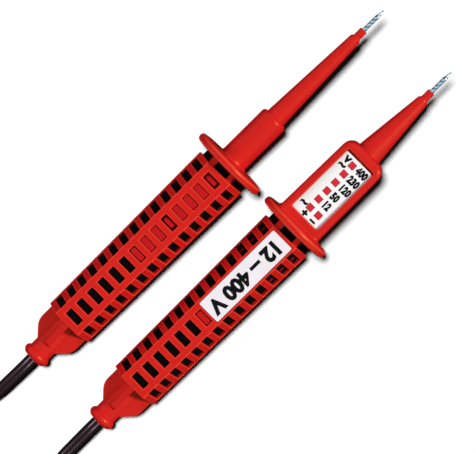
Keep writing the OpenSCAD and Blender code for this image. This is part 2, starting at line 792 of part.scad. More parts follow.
// Square lamp, from the circuit board to just above the panel
module led(i) color(lamp_red) display_place() {
    bottom = board_lift + board_t;
    translate([led_at(i).x, led_at(i).y, bottom])
        linear_extrude(panel_top + led_proud - bottom) square(led_side, center = true);
}

// Circuit board under the display
module circuit_board() color("darkgreen") display_place()
    translate([recess_x, -board_w / 2, board_lift]) cube([chamber_len, board_w, board_t]);

// Lamp driver under the circuit board
module driver_chip() color([0.12, 0.12, 0.12]) display_place()
    translate([recess_x + recess_len / 2, 0, board_lift - led_side / 2 + fit])
        linear_extrude(led_side / 2 - fit) square([2 * led_pitch, led_side + 1], center = true);

// Brass contact between the circuit board and the pin
module probe_contact() color(brass_yellow) display_place() {
    difference() {
        axis_bar(display_contact_x, display_contact_x + contact_len, contact_d);
        axis_bar(display_contact_x - through, display_contact_x + contact_len + through, pin_root_d);
    }
}

// Frame of a ring of the lead: its direction, from the points before and after it
function heading(route, i) = let (
        d = route[min(i + 1, len(route) - 1)] - route[max(i - 1, 0)]
    ) i == 0 ? (route[1] - route[0]) / norm(route[1] - route[0]) : d / norm(d);

// Tube that follows a route
module tube(route) {
    n = len(route);
    polyhedron(
        points = [for (i = [0:n - 1])
            let (
                t = heading(route, i),
                side = cross(t, [0, 0, 1]) / norm(cross(t, [0, 0, 1])),
                up = cross(side, t)
            )
            for (k = [0:tube_sides - 1])
                route[i] + lead_d / 2 * (cos(k * 360 / tube_sides) * side
                    + sin(k * 360 / tube_sides) * up)],
        faces = concat(
            [[for (k = [0:tube_sides - 1]) k]],
            [[for (k = [tube_sides - 1:-1:0]) (n - 1) * tube_sides + k]],
            [for (i = [0:n - 2], k = [0:tube_sides - 1]) [
                (i + 1) * tube_sides + k, (i + 1) * tube_sides + (k + 1) % tube_sides,
                i * tube_sides + (k + 1) % tube_sides, i * tube_sides + k
            ]]
        )
    );
}

// Section of the coil, drawn at its radius
module coil_section(grow) {
    side = coil_side_turns * lead_d + coil_slack;
    translate([coil_r, tie_t + side / 2])
        round_rect(side + 2 * grow, side + 2 * grow, lead_d / 2 + grow);
}
module coil_ring() {
    translate([coil_at.x, coil_at.y, 0]) rotate_extrude() coil_section(0);
}

// Loose ends of the lead between the handles and the coil
module lead_plain() color(lead_black) tube(plain_route);
module lead_display() color(lead_black) tube(display_route);

// The wound part of the lead: one ring, and the two straight ends that leave it
module lead_coil() color(lead_black) {
    coil_ring();
    for (side = [-1, 1]) translate(join_point(side, 0))
        rotate([0, 90, side * (join_angle - 90)]) cylinder(d = lead_d, h = join_run);
}

// Strap round the coil, on the side away from the handles
module coil_tie() color([0.1, 0.1, 0.1]) {
    sweep = tie_w / coil_r * 180 / PI;
    translate([coil_at.x, coil_at.y, 0]) rotate(180 - sweep / 2) rotate_extrude(angle = sweep)
        difference() {
            coil_section(tie_t);
            coil_section(0);
        }
}

plain_shell();
plain_tail_plug();
plain_liner();
plain_carrier();
plain_lead_end();
plain_cable_clamp();
plain_ferrule();
plain_resistor();
plain_probe_pin();
display_shell();
display_tail_plug();
display_liner();
display_carrier();
display_lead_end();
display_cable_clamp();
display_ferrule();
display_resistor();
display_probe_pin();
name_plate();
display_panel();
circuit_board();
driver_chip();
probe_contact();
led(0);  // led_plus
led(1);  // led_12
led(2);  // led_50
led(3);  // led_120
led(4);  // led_230
led(5);  // led_400
led(6);  // led_minus
lead_plain();
lead_coil();
lead_display();
coil_tie();
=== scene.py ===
# %% [markdown]
# # A two-pole voltage tester
# Two red handles lie side by side on a white table, joined by one black lead. OpenSCAD made the
# exact parts, and this notebook dresses them: it adds the camera, the light, the lead, the
# materials, and finer versions of the parts whose looks matter most.

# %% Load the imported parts
import math

import bmesh
import bpy
import numpy as np
from mathutils import Matrix, Vector


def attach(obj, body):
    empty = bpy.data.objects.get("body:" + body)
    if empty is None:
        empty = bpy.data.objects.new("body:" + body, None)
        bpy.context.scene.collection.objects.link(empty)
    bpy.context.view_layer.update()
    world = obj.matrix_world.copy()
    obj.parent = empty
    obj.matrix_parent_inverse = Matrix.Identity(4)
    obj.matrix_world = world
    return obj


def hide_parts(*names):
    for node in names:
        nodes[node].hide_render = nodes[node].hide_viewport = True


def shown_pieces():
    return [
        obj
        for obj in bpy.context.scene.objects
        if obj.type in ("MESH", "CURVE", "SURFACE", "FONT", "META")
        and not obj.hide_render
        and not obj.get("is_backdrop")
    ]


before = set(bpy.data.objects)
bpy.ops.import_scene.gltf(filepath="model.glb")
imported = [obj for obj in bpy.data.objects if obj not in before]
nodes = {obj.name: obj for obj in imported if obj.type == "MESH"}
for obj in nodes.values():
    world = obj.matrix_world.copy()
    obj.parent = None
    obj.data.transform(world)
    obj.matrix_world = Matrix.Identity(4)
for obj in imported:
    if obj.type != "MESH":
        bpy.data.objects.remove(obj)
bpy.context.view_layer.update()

# %% [markdown]
# ## Sizes
# On a table the real handles rest on the tail end of the grip and on the rim of the hand guard, so
# they point up a little. Every piece could be built in that slanting place, but straight handles
# are easier to think about. So each handle has its own coordinates in millimetres, with x along it
# from the tail, y across it and z up, and `placing` turns them into the metres of the scene. The
# sizes are those of the OpenSCAD source.

# %% Layout
MM = 0.001
HANDLE_GAP, STAGGER = 40.8, 1.0
BEAD_FACE_R, COLLAR_LEN, PIN_END_R = 4.4, 4.2, 0.2
GRIP_X, LATTICE_X, GUARD_X, DISPLAY_END = 22.7, 119.14, 122.74, 222.84
GRIP_W, GRIP_H = (24.5, 26.3), (22.4, 24.0)
GUARD_D, GUARD_T, GUARD_ROUND = 36.7, 3.6, 1.5
NOSE_X = GUARD_X + GUARD_T

rim = Vector((GUARD_X + GUARD_ROUND - GRIP_X, GUARD_D / 2 - GUARD_ROUND - GRIP_H[0] / 2))
NOSE_UP = math.atan2(rim.y, rim.x) + math.asin(GUARD_ROUND / rim.length)
AXIS_LIFT = GRIP_H[0] / 2 * math.cos(NOSE_UP) - GRIP_X * math.sin(NOSE_UP)
back_reach = COLLAR_LEN / 2 * (math.cos(NOSE_UP) - 1) - BEAD_FACE_R * math.sin(NOSE_UP)
front_reach = STAGGER + DISPLAY_END * math.cos(NOSE_UP) + PIN_END_R * math.sin(NOSE_UP)
MIDDLE_X = (back_reach + front_reach) / 2


def tail_point(side):
    """Where a handle's own (0, 0, 0) lies in the scene, in millimetres."""
    return Vector((-MIDDLE_X + (STAGGER if side < 0 else 0), side * HANDLE_GAP / 2, AXIS_LIFT))


def placing(side):
    """The matrix that puts a handle in the scene: side 1 is the plain one, -1 the display one."""
    raised = Matrix.Rotation(-NOSE_UP, 4, "Y")
    return Matrix.Scale(MM, 4) @ Matrix.Translation(tail_point(side)) @ raised


def grip_half(x):
    """Half the width and half the height of a grip at x."""
    share = (x - GRIP_X) / (LATTICE_X - GRIP_X)
    return [(tail + (front - tail) * share) / 2 for tail, front in (GRIP_W, GRIP_H)]


PLACE = {"plain": placing(1), "display": placing(-1)}
print("nose up", round(math.degrees(NOSE_UP), 2), "degrees; middle", round(MIDDLE_X, 3))

# %% [markdown]
# ## Camera
# The photograph looks straight down on the tester, and its handles run up to the right. A camera
# close by would show the near parts larger. A long lens far above gives the flat view of the
# photograph, so that is what is used here.

# %% Camera
VIEW_WIDTH, VIEW_TURN, VIEW_HEIGHT = 0.2142, 44.7, 1.5
VIEW_MIDDLE, HANDLE_MIDDLE = (-0.0044, -0.0025), 0.012
camera = bpy.data.objects.new("camera", bpy.data.cameras.new("camera"))
bpy.context.scene.collection.objects.link(camera)
camera.location = (*VIEW_MIDDLE, VIEW_HEIGHT)
camera.rotation_euler = (0, 0, -math.radians(VIEW_TURN))
camera.data.lens = camera.data.sensor_width / VIEW_WIDTH * (VIEW_HEIGHT - HANDLE_MIDDLE)
camera.data.clip_end = 20
bpy.context.scene.camera = camera
print("lens", round(camera.data.lens), "mm")

# %% [markdown]
# ## The lead's way
# On the real tester one double-insulated lead joins the handles. It could be drawn by hand point by
# point, but its coil follows a rule, so a function gives that part and only the loose ends are given
# one by one. The coil has four strands. The lead goes in at the outer side of the lower layer, steps
# inwards, then up, then outwards again, and leaves from the upper layer. Each step has its own part of
# the turn, so that no strand passes through another.

# %% Lead route
LEAD_D, COIL_R, COIL_LOW, STRANDS, COIL_POINTS = 6.0, 33.0, 3.9, 4, 73
JOIN, JOIN_RUNS = 76, (31.0, 26.0, 18.0, 9.0)
COIL_AT = Vector((-196, 0))
STEPS_AT = {"in": (385, 436), "up": (330, 385), "out": (284, 330)}
STRAIGHT_FOR = (0, 2.5, 5)
LOOSE_X, LOOSE_OUT = (-125, -134, -143, -151), (20.5, 20.8, 22.4, 24.6)
PLAIN_HEIGHTS, DISPLAY_HEIGHTS = (8.2, 6.8, 5.4, 4.4), (8.1, 7.3, 7.6, 8.8)


def smooth(t, a, b):
    """A soft step from 0 to 1 while t goes from a to b."""
    t = min(max((t - a) / (b - a), 0), 1)
    return t * t * (3 - 2 * t)


def coil_point(turned):
    """A point of the coil, for the angle turned since the lead came in."""
    a = JOIN + turned
    inward = smooth(a, *STEPS_AT["in"])
    upward = smooth(a - 360, *STEPS_AT["up"])
    outward = smooth(a - 720, *STEPS_AT["out"])
    r = COIL_R + LEAD_D / 2 * (1 - 2 * inward + 2 * outward)
    a = math.radians(a)
    return (COIL_AT.x + r * math.cos(a), COIL_AT.y + r * math.sin(a), COIL_LOW + LEAD_D * upward)


def handle_side(side, heights):
    """The loose lead between a handle and the coil, from the handle."""
    start = tail_point(side)
    back = Vector((-math.cos(NOSE_UP), 0, -math.sin(NOSE_UP)))
    points = [start + far * back for far in STRAIGHT_FOR]
    points += [Vector((x, side * y, z)) for x, y, z in zip(LOOSE_X, LOOSE_OUT, heights)]
    r, a = COIL_R + LEAD_D / 2, math.radians(JOIN)
    for run in JOIN_RUNS:
        points.append(Vector((COIL_AT.x + r * math.cos(a) + run * math.sin(a),
                              side * (r * math.sin(a) - run * math.cos(a)),
                              COIL_LOW + (LEAD_D if side < 0 else 0))))
    return [tuple(p) for p in points]


in_coil = [coil_point(t) for t in np.linspace(0, STRANDS * 360 - 2 * JOIN, COIL_POINTS)]
route = handle_side(1, PLAIN_HEIGHTS) + in_coil + handle_side(-1, DISPLAY_HEIGHTS)[::-1]
print(len(route), "points from handle to handle")

# %% [markdown]
# ## The lead itself
# The lead is round and equally thick all along. A mesh could be swept along the points, but a
# Bezier curve with a round bevel does that by itself and bends softly from point to point.

# %% Lead
curve = bpy.data.curves.new("lead", "CURVE")
curve.dimensions = "3D"
curve.bevel_depth = 1.0
curve.bevel_resolution = 8
curve.resolution_u = 6
spline = curve.splines.new("BEZIER")
spline.bezier_points.add(len(route) - 1)
for point, at in zip(spline.bezier_points, route):
    point.co = Vector(at) * MM
    point.handle_left_type = point.handle_right_type = "AUTO"
    point.radius = LEAD_D / 2 * MM
lead = bpy.data.objects.new("lead", curve)
bpy.context.scene.collection.objects.link(lead)
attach(lead, "root")
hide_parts("lead_plain", "lead_coil", "lead_display")

# %% [markdown]
# ## Table and lamps
# The photograph has soft light from the lower right and weaker light from the upper left, so the
# sides that face the upper left are darker. Area lamps could give that, but suns light the whole
# length of the handles alike. The key and the fill are two suns, and the dome is a sun as wide as
# the sky. The strips are two more that the black lead mirrors as bands. A steep one over the table
# draws the short shadow below each handle.

# %% Table and lamps
TABLE_SIZE, TABLE_Z = 0.7, -0.0001


def stage_plane(name, size, z):
    """A square in the background, which isn't part of the tester."""
    mesh = bpy.data.meshes.new(name)
    s = size / 2
    mesh.from_pydata([(-s, -s, z), (s, -s, z), (s, s, z), (-s, s, z)], [], [(0, 1, 2, 3)])
    plane = bpy.data.objects.new(name, mesh)
    bpy.context.scene.collection.objects.link(plane)
    plane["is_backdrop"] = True
    return plane


def sun(name, strength, colour, spread, towards):
    """A sun lamp that shines towards a direction, with its softness as an angle."""
    lamp = bpy.data.lights.new(name, "SUN")
    lamp.energy, lamp.color, lamp.angle = strength, colour, math.radians(spread)
    o = bpy.data.objects.new(name, lamp)
    bpy.context.scene.collection.objects.link(o)
    o.rotation_euler = Vector(towards).to_track_quat("-Z", "Y").to_euler()
    return o


table = stage_plane("table", TABLE_SIZE, TABLE_Z)
key = sun("key", 3.3, (1, 0.97, 0.92), 12, (-0.55, 0.70, -0.80))
fill = sun("fill", 1.9, (1, 0.85, 1), 40, (0.35, -0.95, -0.45))
fill.visible_glossy = False
strips = [sun("strip", 8.5, (1, 0.93, 0.97), 26, towards)
          for towards in ((0, -0.74, -0.67), (0, 0.57, -0.82))]
dome = sun("dome", 0.4, (0.95, 0.97, 1), 180, (0, 0, -1))
table_lamp = sun("table_lamp", 27.0, (1, 1, 1), 9, (0.0, -0.145, -1))
bpy.context.scene.view_settings.view_transform = "Standard"
print("lamps:", [o.name for o in (key, fill, *strips, dome, table_lamp)])

# %% [markdown]
# ## The world
# The world is the white that the photograph has beyond the table. A white world would also throw
# light on the tester from all sides and wash out its shading. Light Path tells the rays apart, so
# the world is white only to the camera and to rays that metal or clear surfaces send on, and
# almost dark to all others.

# %% World
WORLD_DARK, WORLD_WHITE = 0.02, 1.0
world = bpy.data.worlds.new("studio")
bpy.context.scene.world = world
world.use_nodes = True
tree = world.node_tree
rays = tree.nodes.new("ShaderNodeLightPath").outputs


def either(a, b):
    """An output that is 1 where one of two outputs is 1."""
    added = tree.nodes.new("ShaderNodeMath")
    added.operation, added.use_clamp = "ADD", True
    tree.links.new(a, added.inputs[0])
    tree.links.new(b, added.inputs[1])
    return added.outputs[0]


shown = either(either(rays["Is Camera Ray"], rays["Is Transmission Ray"]), rays["Is Glossy Ray"])
strength = tree.nodes.new("ShaderNodeMix")
strength.inputs["A"].default_value = WORLD_DARK
strength.inputs["B"].default_value = WORLD_WHITE
tree.links.new(shown, strength.inputs["Factor"])
tree.nodes["Background"].inputs["Color"].default_value = (1, 1, 1, 1)
tree.links.new(strength.outputs["Result"], tree.nodes["Background"].inputs["Strength"])
print(len(tree.nodes), "nodes in the world")

# %% [markdown]
# ## How a finish is made
# The real surfaces are moulded plastic, worn and plated metal, and paint. Pictures could be laid
# on them, but the finishes are even, so each is a small node tree on the object's own coordinates,
# which needs no unwrapping. `material` makes the shader, `node` adds a node to its tree and `link`
# joins two of them.

# %% Material helpers


def material(name, colour, roughness, metallic=0.0, specular=0.5, tint=(1, 1, 1)):
    """A plain shader; tint is the colour of its reflections."""
    m = bpy.data.materials.new(name)
    m.use_nodes = True
    m.diffuse_color = (*colour, 1)
    shader = m.node_tree.nodes["Principled BSDF"]
    shader.inputs["Base Color"].default_value = (*colour, 1)
    shader.inputs["Roughness"].default_value = roughness
    shader.inputs["Metallic"].default_value = metallic
    shader.inputs["Specular IOR Level"].default_value = specular
    shader.inputs["Specular Tint"].default_value = (*tint, 1)
    return m


def node(m, kind, **inputs):
    """Adds a node; its inputs are set by name, with _ for a space."""
    n = m.node_tree.nodes.new(kind)
    for name, value in inputs.items():
        n.inputs[name.replace("_", " ")].default_value = value
    return n


def link(m, a, out, b, into):
    """Joins an output of node a to an input of node b."""
    m.node_tree.links.new(a.outputs[out], b.inputs[into])


print("helpers:", [f.__name__ for f in (material, node, link)])

# %% [markdown]
# ## Grain, ridges and edges
# Moulded plastic is never quite smooth, and the pin of a used tester is scraped. All this could be
# modelled, but it is finer than any mesh needs to be. `grain` and `ridges` let a pattern raise the
# surface a little and change its colour slowly. `painted_edge_tone` gives another colour where a UV
# map named edges marks the rounded edges: a painted highlight on the red handles and painted shade on
# the pads.

# %% Patterns


def two_tones(m, pattern, colours, places):
    """Colours the shader by a pattern, from one colour to the other."""
    ramp = node(m, "ShaderNodeValToRGB")
    for end, colour, place in zip(ramp.color_ramp.elements, colours, places):
        end.color, end.position = (*colour, 1), place
    link(m, pattern, "Fac", ramp, "Fac")
    link(m, ramp, "Color", m.node_tree.nodes["Principled BSDF"], "Base Color")


def bumpy(m, pattern, height):
    """Lets a pattern rise from the surface by a height in metres."""
    bump = node(m, "ShaderNodeBump", Strength=1.0, Distance=height)
    link(m, node(m, "ShaderNodeTexCoord"), "Object", pattern, "Vector")
    link(m, pattern, "Fac", bump, "Height")
    link(m, bump, "Normal", m.node_tree.nodes["Principled BSDF"], "Normal")


def grain(m, scale, height, tint=0.0, slower=12):
    """A fine surface grain, and a slow change of the colour by tint."""
    bumpy(m, node(m, "ShaderNodeTexNoise", Scale=scale, Detail=3.0), height)
    if tint:
        colour = m.diffuse_color[:3]
        slow = node(m, "ShaderNodeTexNoise", Scale=scale / slower, Detail=2.0)
        link(m, node(m, "ShaderNodeTexCoord"), "Object", slow, "Vector")
        two_tones(m, slow, [[c * (1 - tint) for c in colour], [c * (1 + tint / 2) for c in colour]],
                  (0.3, 0.7))
    return m


def ridges(m, scale, height, darkest=0.3, lightest=1.25):
    """Slanting ridges with dark valleys, as on a worn and scraped pin."""
    wave = node(m, "ShaderNodeTexWave", Scale=scale, Distortion=2.0, Detail=2.0, Detail_Scale=2.0)
    wave.bands_direction = "DIAGONAL"
    bumpy(m, wave, height)
    colour = m.diffuse_color[:3]
    two_tones(m, wave, [[c * darkest for c in colour], [min(c * lightest, 1) for c in colour]],
              (0.1, 0.55))
    return m


def painted_edge_tone(m, edge_colour):
    """Another colour for the rounded edges, whose UV has x = 1: a painted highlight or painted shade,
    as the colour given.
    """
    shader = m.node_tree.nodes["Principled BSDF"]
    before_it = shader.inputs["Base Color"].links[0].from_socket
    uv = node(m, "ShaderNodeUVMap")
    uv.uv_map = "edges"
    split = node(m, "ShaderNodeSeparateXYZ")
    mix = node(m, "ShaderNodeMixRGB", Color2=(*edge_colour, 1))
    link(m, uv, "UV", split, "Vector")
    link(m, split, "X", mix, "Fac")
    m.node_tree.links.new(before_it, mix.inputs["Color1"])
    link(m, mix, "Color", shader, "Base Color")


print("patterns:", [f.__name__ for f in (grain, ridges, painted_edge_tone)])

# %% [markdown]
# ## The tester's finishes
# The handles are one red plastic, with a painted highlight along its rounded edges. The carrier inside
# is the same red painted darker, as painted shade for its depth in the windows, and the plain
# carrier's pads have painted shade at their edges. The pin's steel is bluish and scraped. One shared
# red would be simpler, but the photograph shows the three apart. The plates, the lamps and the inner
# parts follow.

# %% Materials


def red_mould(name, colour, roughness, specular):
    """A moulded red plastic, with a warm shine."""
    plastic = material(name, colour, roughness, specular=specular, tint=(1, 0.45, 0.2))
    return grain(plastic, 2200, 0.00002, 0.06)


red = red_mould("red_plastic", (0.6, 0.011, 0.011), 0.34, 0.4)
# Painted shade: the carrier is the same red, painted darker for its depth behind the windows.
shaded_inner_red = red_mould("shaded_inner_red", (0.48, 0.009, 0.014), 0.4, 0.2)
# Painted shade: the plain carrier's pads take the same darker red, and painted shade at their edges.
shaded_pad_red = red_mould("shaded_pad_red", (0.48, 0.009, 0.014), 0.4, 0.2)
# Painted highlight: the red is lighter orange on its rounded edges. Painted shade: the plain carrier's
# pads are nearly black on theirs.
painted_edge_tone(red, (0.74, 0.042, 0.02))
painted_edge_tone(shaded_pad_red, (0.13, 0.002, 0.008))
# The liner is an inner sleeve, and its black is painted shade in the deep windows.
liner = grain(material("black_liner", (0.002, 0.0015, 0.0015), 0.8, specular=0.03), 900, 0.00003)
jacket = grain(material("lead_jacket", (0.002, 0.001, 0.0013), 0.2, specular=0.1,
                        tint=(1, 0.8, 0.9)), 700, 0.000003)
plated = grain(material("plated_metal", (0.6, 0.6, 0.62), 0.3, metallic=1), 900, 0.00001)
brass = grain(material("brass", (0.68, 0.48, 0.2), 0.32, metallic=1), 900, 0.00001)
resistor = grain(material("resistor_body", (0.55, 0.4, 0.24), 0.7), 1200, 0.00003, 0.1)
steel = ridges(material("probe_steel", (0.26, 0.37, 0.46), 0.25, metallic=1), 260, 0.00004)
plate = grain(material("white_plate", (0.84, 0.84, 0.87), 0.4, specular=0.3), 900, 0.00001, 0.03)
panel = grain(material("display_panel", (0.87, 0.93, 0.92), 0.35, specular=0.3), 900, 0.00001, 0.02)
board = grain(material("circuit_board", (0.02, 0.14, 0.06), 0.45), 1500, 0.00002, 0.15)
chip = grain(material("driver_chip", (0.02, 0.02, 0.02), 0.55), 2500, 0.00003)
lamp_red = grain(material("lamp", (0.62, 0.014, 0.03), 0.3, specular=0.3), 500, 0.00001, 0.1)
strap = grain(material("strap", (0.02, 0.02, 0.021), 0.85), 2500, 0.0001)
print(len(bpy.data.materials), "materials")

# %% [markdown]
# ## The table's finish
# The table is plain white. A white colour would throw light back up on the tester's slopes, which
# the photograph doesn't show, so the table is white only to the camera, with its own strong lamp,
# and dark to all other rays.

# %% Table material
TO_CAMERA, TO_OTHERS = (0.121, 0.121, 0.121), (0.002, 0.002, 0.002)
table_white = material("table_white", TO_CAMERA, 0.9, specular=0.0)
seen = node(table_white, "ShaderNodeMix")
seen.data_type = "RGBA"
seen.inputs["A"].default_value = (*TO_OTHERS, 1)
seen.inputs["B"].default_value = (*TO_CAMERA, 1)
link(table_white, node(table_white, "ShaderNodeLightPath"), "Is Camera Ray", seen, "Factor")
link(table_white, seen, "Result", table_white.node_tree.nodes["Principled BSDF"], "Base Color")
table.data.materials.append(table_white)
print(table_white.name, "on the table")

# %% [markdown]
# ## Which part has which finish
# The finish could be set for each of the parts by hand, but both handles have the same kinds of
# parts. So the finish goes by the part's name without its handle. The exact solids inside the
# handles keep these finishes, and the finer parts bring their own.

# %% Finishes
FINISHES = {
    "shell": red, "tail_plug": red, "carrier": shaded_inner_red, "liner": liner, "lead_end": jacket,
    "cable_clamp": plated, "ferrule": brass, "resistor": resistor, "probe_pin": steel,
    "name_plate": plate, "display_panel": panel, "circuit_board": board, "driver_chip": chip,
    "probe_contact": brass, "coil_tie": strap, "lead_plain": jacket, "lead_display": jacket,
    "lead_coil": jacket,
}
for name, o in nodes.items():
    part = name.split("_", 1)[1] if name.startswith(("plain_", "display_")) else name
    finish = lamp_red if name.startswith("led_") else FINISHES.get(name) or FINISHES[part]
    o.data.materials.clear()
    o.data.materials.append(finish)
lead.data.materials.append(jacket)
print(len(FINISHES), "kinds of part have a finish")

# %% [markdown]
# ## The section of the grip
# The grip of the real tester is a hexagonal tube with a window in each side, which gives the hand
# a hold, and the same ring of six windows comes fourteen times. All the windows could be cut out
# of a plain tube, but such cuts leave untidy edges. A ring that is built point by point repeats
# cleanly. Its section comes first: the outer and the inner outline of the wall, each with a point
# wherever a window begins or ends.

# %% Section of the grip
END_BAND, WINDOW_LEN, CROSS_RIB, COLUMNS = 3.2, 3.6, 3.06, 14
TOP_FLAT, WINDOW_W, WALL, SHALLOW_WALL, SIDE_RAIL = 14.0, 7.7, 1.5, 0.6, 1.1
WINDOW_X, PITCH = GRIP_X + END_BAND, WINDOW_LEN + CROSS_RIB
AT_TAIL = (GRIP_W[0], GRIP_H[0])


def slope_half(w, h, inset, z):
    """Half width of the hexagon, set back by inset, at height z."""
    up, out = h / 2, (w - TOP_FLAT) / 2
    slant = math.hypot(up, out)
    return ((up * w / 2 / slant - inset) * slant - out * abs(z)) / up


def section(w, h, inset, wall):
    """The outer and the inner outline: for each of the six sides a corner and the window's edges."""
    up, out = h / 2, (w - TOP_FLAT) / 2
    slope = Vector((-out, up)).normalized()
    normal = Vector((up, out)).normalized()
    rings = []
    for depth in (inset, inset + wall):
        z, side = up - depth, slope_half(w, h, depth, 0)
        near_top = Vector((TOP_FLAT / 2, (side - TOP_FLAT / 2) * up / out))
        near_edge = Vector((w / 2, 0)) + slope * SIDE_RAIL - normal * inset
        near_rail = near_edge - normal * (depth - inset)
        shallow = near_edge - normal * min(depth - inset, SHALLOW_WALL)
        corner = Vector((slope_half(w, h, depth, z), z))
        upper = [Vector((side, 0)), shallow, near_top, corner, Vector((WINDOW_W / 2, z)),
                 Vector((-WINDOW_W / 2, z)), Vector((-corner.x, z)),
                 Vector((-near_top.x, near_top.y)), Vector((-near_rail.x, near_rail.y))]
        rings.append([(p.x, p.y) for p in upper] + [(-p.x, -p.y) for p in upper])
    return rings


outer, inner = section(*AT_TAIL, 0, WALL)
print(len(outer), "points outside and", len(inner), "inside")

# %% [markdown]
# ## One ring of the lattice
# On the real grip narrow rails join each cross rib to the next, and a window's sides are as deep as
# the wall. A ring could be made by hand, but a function can also make the plain bands at the grip's
# ends and the bars of the neck, whose section is alike. `ring_mesh` walks along a list of stations,
# makes faces only where there is wall, and closes the sides of each window.

# %% One ring of the lattice
OPEN, SHUT, NONE = 0, 1, 2
SIX_WINDOWS, TOP_WINDOW = (1, 4, 7, 10, 13, 16), 4


def ring_mesh(name, stations, w, h, inset=0.0, wall=WALL, caps=(False, False), top_open=True,
              windows=SIX_WINDOWS):
    """A hexagonal tube. Each station is its x and the kind of wall that follows it."""
    rings = section(w, h, inset, wall)
    n = len(rings[0])
    points = [(x, y, z) for x, _ in stations for ring in rings for y, z in ring]
    last = len(stations) - 1

    def at(s, inner, j):
        """The number of a point: its station, outside or inside, and its place in the outline."""
        return (2 * s + inner) * n + j % n

    def kind(s, j):
        """What lies between station s and the next one, at point j of the outline."""
        if not 0 <= s < last:
            return NONE
        if stations[s][1] != OPEN:
            return stations[s][1]
        return OPEN if j in windows and (top_open or j != TOP_WINDOW) else SHUT

    faces = []
    for s in range(last + 1):
        for j in range(n):
            here, prior = kind(s, j), kind(s - 1, j)
            if here == SHUT:
                faces += [[at(s, i, j), at(s + 1, i, j), at(s + 1, i, j + 1), at(s, i, j + 1)]
                          for i in (0, 1)]
            if here == OPEN:
                faces += [[at(s, 0, j + k), at(s, 1, j + k), at(s + 1, 1, j + k), at(s + 1, 0, j + k)]
                          for k in (0, 1) if kind(s, (j - 1 + 2 * k) % n) == SHUT]
            capped = (s == 0 and caps[0] and here == SHUT) or (s == last and caps[1] and prior != OPEN)
            if capped or (s < last and OPEN in (here, prior) and not (s == 0 and caps[0])):
                faces.append([at(s, 0, j), at(s, 0, j + 1), at(s, 1, j + 1), at(s, 1, j)])
    mesh = bpy.data.meshes.new(name)
    mesh.from_pydata(points, [], faces)
    return mesh


def helper(name, mesh):
    """An object that only serves the building of others, and is removed after that."""
    return bpy.data.objects.new(name, mesh)


pitch = [(0, OPEN), (WINDOW_LEN, SHUT), (PITCH, NONE)]
open_ring = helper("open_ring", ring_mesh("open_ring", pitch, *AT_TAIL))
shut_ring = helper("shut_ring", ring_mesh("shut_ring", pitch, *AT_TAIL, top_open=False))
ends = ring_mesh("ends", [(GRIP_X, SHUT), (WINDOW_X, NONE), (LATTICE_X, NONE)], *AT_TAIL,
                 caps=(True, True))
print(len(open_ring.data.polygons), "faces in a ring,", len(ends.polygons), "at the ends")

# %% [markdown]
# ## Rings in a row
# The rings follow one another along the grip. A loop could place them, but a Geometry Nodes group
# keeps their number and their pitch as named inputs. A line of points carries the rings: the first
# ones with all six windows, the rest with the top one shut, for the name plate. Then the copies
# become real and their touching points are merged.

# %% Row of rings
MERGE = 0.005


def add(g, kind, *wires, **settings):
    """Adds a node to a group, with its settings and with wires or values for its inputs."""
    n = g.nodes.new(kind)
    for name, value in settings.items():
        setattr(n, name, value)
    for socket, source in wires:
        if isinstance(source, (int, float)):
            n.inputs[socket].default_value = source
        else:
            g.links.new(source, n.inputs[socket])
    return n


def row_of_rings(g, ask):
    """The rings along a line of points, merged with the plain ends of the grip."""
    start = add(g, "ShaderNodeCombineXYZ", (0, ask["Start"])).outputs[0]
    step = add(g, "ShaderNodeCombineXYZ", (0, ask["Pitch"])).outputs[0]
    line = add(g, "GeometryNodeMeshLine", ("Count", ask["Rings"]), ("Start Location", start),
               ("Offset", step)).outputs[0]
    index = add(g, "GeometryNodeInputIndex").outputs[0]
    first = add(g, "FunctionNodeCompare", (2, index), (3, ask["Open ones"]), data_type="INT",
                operation="LESS_THAN").outputs[0]
    rest = add(g, "FunctionNodeBooleanMath", (0, first), operation="NOT").outputs[0]
    together = add(g, "GeometryNodeJoinGeometry", (0, ask["Geometry"]))
    for ring, chosen in (("Open ring", first), ("Shut ring", rest)):
        info = add(g, "GeometryNodeObjectInfo", ("Object", ask[ring])).outputs["Geometry"]
        placed = add(g, "GeometryNodeInstanceOnPoints", ("Points", line), ("Instance", info),
                     ("Selection", chosen)).outputs[0]
        g.links.new(placed, together.inputs[0])
    real = add(g, "GeometryNodeRealizeInstances", (0, together.outputs[0])).outputs[0]
    return add(g, "GeometryNodeMergeByDistance", (0, real), ("Distance", MERGE)).outputs[0]


print("rings stand", round(PITCH, 2), "mm apart")

# %% [markdown]
# ## The taper
# The real grip widens towards the guard. A Simple Deform modifier could taper it, but it would
# also widen the flat strips along the top and the bottom, which are equally wide all along. So the
# group moves every point: its height grows in proportion, and its width most at the side rails and
# not at all on the flat strips.

# %% Taper


def maths(g, operation, *values):
    """The output of a Math node."""
    return add(g, "ShaderNodeMath", *enumerate(values), operation=operation).outputs[0]


